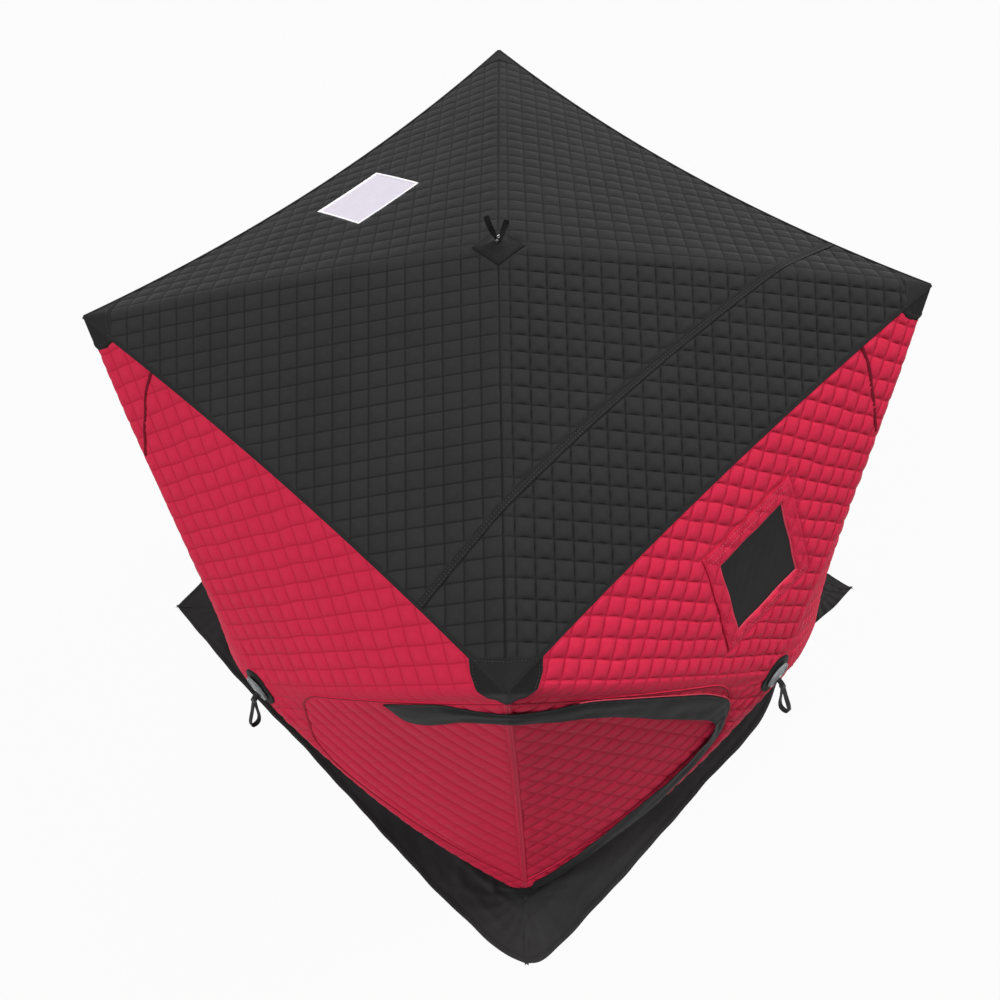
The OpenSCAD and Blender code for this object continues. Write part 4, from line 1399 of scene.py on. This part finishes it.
def build_flap():
    edges = smooth_path(FLAP_EDGES, 420)
    outer_edge, inner_edge = share_point(*edges[:, :2].T), share_point(*edges[:, 2:].T)
    inward = inner_edge - outer_edge
    base, across, along = strip_grid(soft_corner, outer_edge, inner_edge, 18)
    height = flap_height(across, along)
    outer, inner = (shifted(base, height - depth) for depth in (0, 0.0018))
    # Painted shade: a darker line in the groove beside the flap's sewn edge.
    dark = np.clip(1 - abs(across - 0.10) / 0.05, 0, 1)
    made = shell("door_flap_cloth", outer, inner, plain_black, crease_and_shade=dark)
    declare(made, "door_flap")
    row = shifted(soft_corner(*(outer_edge + inward * 0.06).T), height[:, 2] + 0.0004)[6:-6]
    stitches("door_flap_stitching", [row], black_thread)
    hem = shifted(soft_corner(*(outer_edge - inward * 0.05)[110:300].T), 0.0060)
    sweep("door_flap_hem", hem, (0, 0, 1), round_section(0.0017, 0.0017, 8), hem_red)


def build_zip():
    """The zip round the door: a red tape with the dark coil along its middle."""
    path = spaced(np.concatenate([DOOR_OUTLINE, DOOR_OUTLINE[:1]]), 0.006)
    made = ribbon(
        "door_zip_tape", soft_corner, path, 0.0075, 8, welted(0.0016, (0.12, 0.88), 0.0012, 0.1), red_cloth,
        crease_and_shade=lines_at((0.5,), 0.3, 0.8),
    )
    declare_strip(made)
    ribbon("door_zip_coil", soft_corner, path, 0.0023, 4, hump(0.0032), seam_red)


# ---- skirt ----

# How far the skirt's outer edge lies beyond the base, at shares along each side from its right end as seen from
# outside: front, right, back, left.
SKIRT_EDGES = [
    [(0, 0.173), (0.04, 0.204), (0.15, 0.222), (0.4, 0.216), (0.6, 0.205), (0.75, 0.206), (0.9, 0.190), (1, 0.174)],
    [
        (0, 0.120), (0.063, 0.122), (0.17, 0.102), (0.29, 0.160), (0.36, 0.206), (0.547, 0.214), (0.841, 0.219),
        (0.94, 0.213), (0.982, 0.201), (1, 0.172),
    ],
    [(0, 0.168), (0.1, 0.196), (0.4, 0.206), (0.7, 0.190), (0.86, 0.128), (0.93, 0.109), (1, 0.120)],
    [(0, 0.178), (0.072, 0.201), (0.3, 0.208), (0.6, 0.212), (0.9, 0.200), (1, 0.170)],
]
SKIRT_T, SKIRT_LIE, SKIRT_OVERLAP = 0.0018, 0.0030, 0.0012
SKIRT_COLUMNS, SKIRT_STITCHED = 27, 25


def skirt_height(side, u, v, ground, corners):
    """How high the skirt's top lies: folds along it, and at each end folds that spread from the hut's corner."""
    lie = smooth_step(v / 0.12) * smooth_step((1.02 - v) / 0.08)
    folds = np.clip(np.sin(u * 60 + 2.5 * np.sin(u * 9 + side) + 3 * v), 0, 1) ** 3 * bump(v - 0.4, 0.35)
    long_fold = bump(v - 0.30 - 0.10 * np.sin(u * 7 + side), 0.05)
    long_fold = long_fold + 0.6 * bump(v - 0.72 + 0.12 * np.sin(u * 5 + 2 * side), 0.05)
    z = SKIRT_LIE + SKIRT_OVERLAP * (side % 2)
    z = z + lie * 0.0045 * folds * (0.5 + 0.5 * np.sin(u * 13 + side))
    z = z + lie * 0.0045 * long_fold * (0.6 + 0.4 * np.sin(u * 17 + side))
    z = z + lie * 0.0016 * (1 + ripple(4.4 * u, 1.5 * v, side))
    z = z + 0.0020 * bump(v - 0.965, 0.02) * smooth_step(u / 0.04) * smooth_step((1 - u) / 0.04)
    for corner_point in corners:
        x, y = np.moveaxis(ground - corner_point, -1, 0)
        distance, bearing = np.hypot(x, y), np.arctan2(x, y)
        z = z + lie * 0.0026 * np.sin(19 * bearing + 3 * np.sin(14 * distance)) * bump(distance - 0.10, 0.10)
    return z


def skirt_edge(side, f):
    """The outer edge on the ground. Its ends meet the neighbours' ends."""
    path = smooth_path(SKIRT_EDGES[side], 400)
    reach = np.interp(f, *path.T) + 0.0012 * np.sin(f * 41 + side) + 0.0008 * np.sin(f * 97 + 2 * side)
    ends = SKIRT_EDGES[(side + 1) % 4][-1][1], SKIRT_EDGES[side - 1][0][1]
    return np.stack([(HALF_BASE + np.where(f < 0.5, *ends)) * (1 - 2 * f), -(HALF_BASE + reach)], -1)


def build_skirt():
    """A strip a side: sewn on a little above the ground, turned out and laid flat."""
    f = np.linspace(-0.004, 1.004, 223)
    wall_line = front_wall(1 - 2 * f, np.full(len(f), -1.0))[:, :2]
    attach = shifted(front_wall(1 - 2 * f, np.full(len(f), -0.97)), 0.0055)[:, None]
    u, v = f[:, None], np.linspace(0, 1, SKIRT_COLUMNS)[None]
    rise = (np.clip(1 - v / 0.085, 0, 1) ** 1.6)[..., None]
    # Darker along the hem and along the fold where the skirt turns out: partly the real sewn hem, partly painted
    # shade in the fold.
    hem = np.clip(1 - abs(v - 0.93) / 0.012, 0, 1) + 0 * u
    fold_line = np.clip(1 - abs(v - 0.10) / 0.03, 0, 1) + 0 * u
    for side, name in enumerate(SIDES):
        ground = wall_line[:, None] + (skirt_edge(side, f) - wall_line)[:, None] * v[..., None]
        z = skirt_height(side, u, v, ground, wall_line[[0, -1]])
        points = np.concatenate([ground, z[..., None]], -1) * (1 - rise) + attach * rise
        inner = points - np.array([0, 0, SKIRT_T])
        inner[..., 1] += 0.0012 * rise[..., 0]
        inner[..., 2] = np.maximum(inner[..., 2], 0.0002)
        made = shell(
            f"{name}_skirt_cloth", turned(points, side), turned(inner, side), skirt_black,
            crease_and_shade=np.maximum(hem, fold_line) * 0.8,
        )
        declare(made, f"{name}_skirt")
        row = turned(points[4:-4, SKIRT_STITCHED] + [0, 0, 0.0006], side)
        stitches(f"{name}_skirt_stitching", [row], black_thread)


def finish_cad_nodes():
    for name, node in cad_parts.items():
        if not node.hide_render:
            for place in node.material_slots:
                place.material = rod if name.endswith("_poles") else hub_plastic


# ---- camera, light and ground ----


def build_camera():
    """The camera that was fitted to the photo's corners, hubs and eaves."""
    azimuth, elevation, roll = radians(48.3634), radians(55.3407), radians(-4.5684)
    back = Vector((sin(azimuth) * cos(elevation), -cos(azimuth) * cos(elevation), sin(elevation)))
    right = Vector((cos(azimuth), sin(azimuth), 0))
    up = back.cross(right)
    place = right * -0.0532 + Vector((0, 0, 0.7624)) + back * 4.2063
    side, top = right * cos(roll) + up * sin(roll), up * cos(roll) - right * sin(roll)
    lens = bpy.data.cameras.new("camera")
    lens.sensor_width, lens.lens = 36, 39.59
    camera = bpy.data.objects.new("camera", lens)
    camera.matrix_world = Matrix.Translation(place) @ Matrix((side, top, back)).transposed().to_4x4()
    bpy.context.scene.collection.objects.link(camera)
    bpy.context.scene.camera = camera


def sun(name, towards, strength, spread):
    light = bpy.data.lights.new(name, "SUN")
    light.energy, light.angle = strength, radians(spread)
    made = bpy.data.objects.new(name, light)
    made.rotation_mode = "QUATERNION"
    made.rotation_quaternion = Vector(towards).to_track_quat("Z", "Y")
    bpy.context.scene.collection.objects.link(made)


WORLD_LIGHT = 0.28
FLOOR_HALF, FLOOR_GLOW = 30, 0.96


def build_stage():
    """A white world and a pale floor, both dimmer for the light that falls on the object."""
    scene = bpy.context.scene
    scene.view_settings.view_transform = "Standard"
    scene.world = bpy.data.worlds.new("studio")
    scene.world.use_nodes = True
    n = Nodes(scene.world.node_tree)
    background = n.tree.nodes["Background"]
    n.put(background, "Color", (1, 1, 1, 1))
    n.put(background, "Strength", n.span(n.seen(), 0.0, 1.0, WORLD_LIGHT, 1.0))

    n = Look("pale_floor")
    n.finish(Base_Color=(0.20, 0.20, 0.20, 1), Roughness=0.9, Specular_IOR_Level=0.1)
    glow = n.add("Emission", {"Color": (1, 1, 1, 1), "Strength": 1.0})
    blend = n.add("MixShader", {0: n.math("MULTIPLY", n.seen(), FLOOR_GLOW)})
    out = n.tree.nodes["Material Output"]
    n.tree.links.new(n.shader.outputs[0], blend.inputs[1])
    n.tree.links.new(glow.outputs[0], blend.inputs[2])
    n.tree.links.new(blend.outputs[0], out.inputs["Surface"])
    mesh = bpy.data.meshes.new("floor")
    corners = [(x * FLOOR_HALF, y * FLOOR_HALF, 0) for x, y in ((-1, -1), (1, -1), (1, 1), (-1, 1))]
    mesh.from_pydata(corners, [], [(0, 1, 2, 3)])
    mesh.materials.append(n.material)
    floor = bpy.data.objects.new("floor", mesh)
    floor.location.z = -0.0005
    scene.collection.objects.link(floor)


build_camera()
build_stage()
sun("top", (-0.32, 0.52, 0.79), 0.7, 12)
sun("front", (-0.14, -0.62, 0.78), 2.2, 18)
sun("side", (0.25, 0.62, 0.74), 2.6, 14)

for side in range(4):
    build_wall(side)
build_roof()
build_door()
build_windows()
build_window_frame()
build_roof_seams()
build_eave_edges()
build_corner_seams()
build_wall_seams()
build_eave_patches()
build_base_patches()
build_roof_patch()
build_hub_rings()
build_hub_caps()
build_pull_loops()
build_roof_strap()
build_flap()
build_zip()
build_skirt()
finish_cad_nodes()
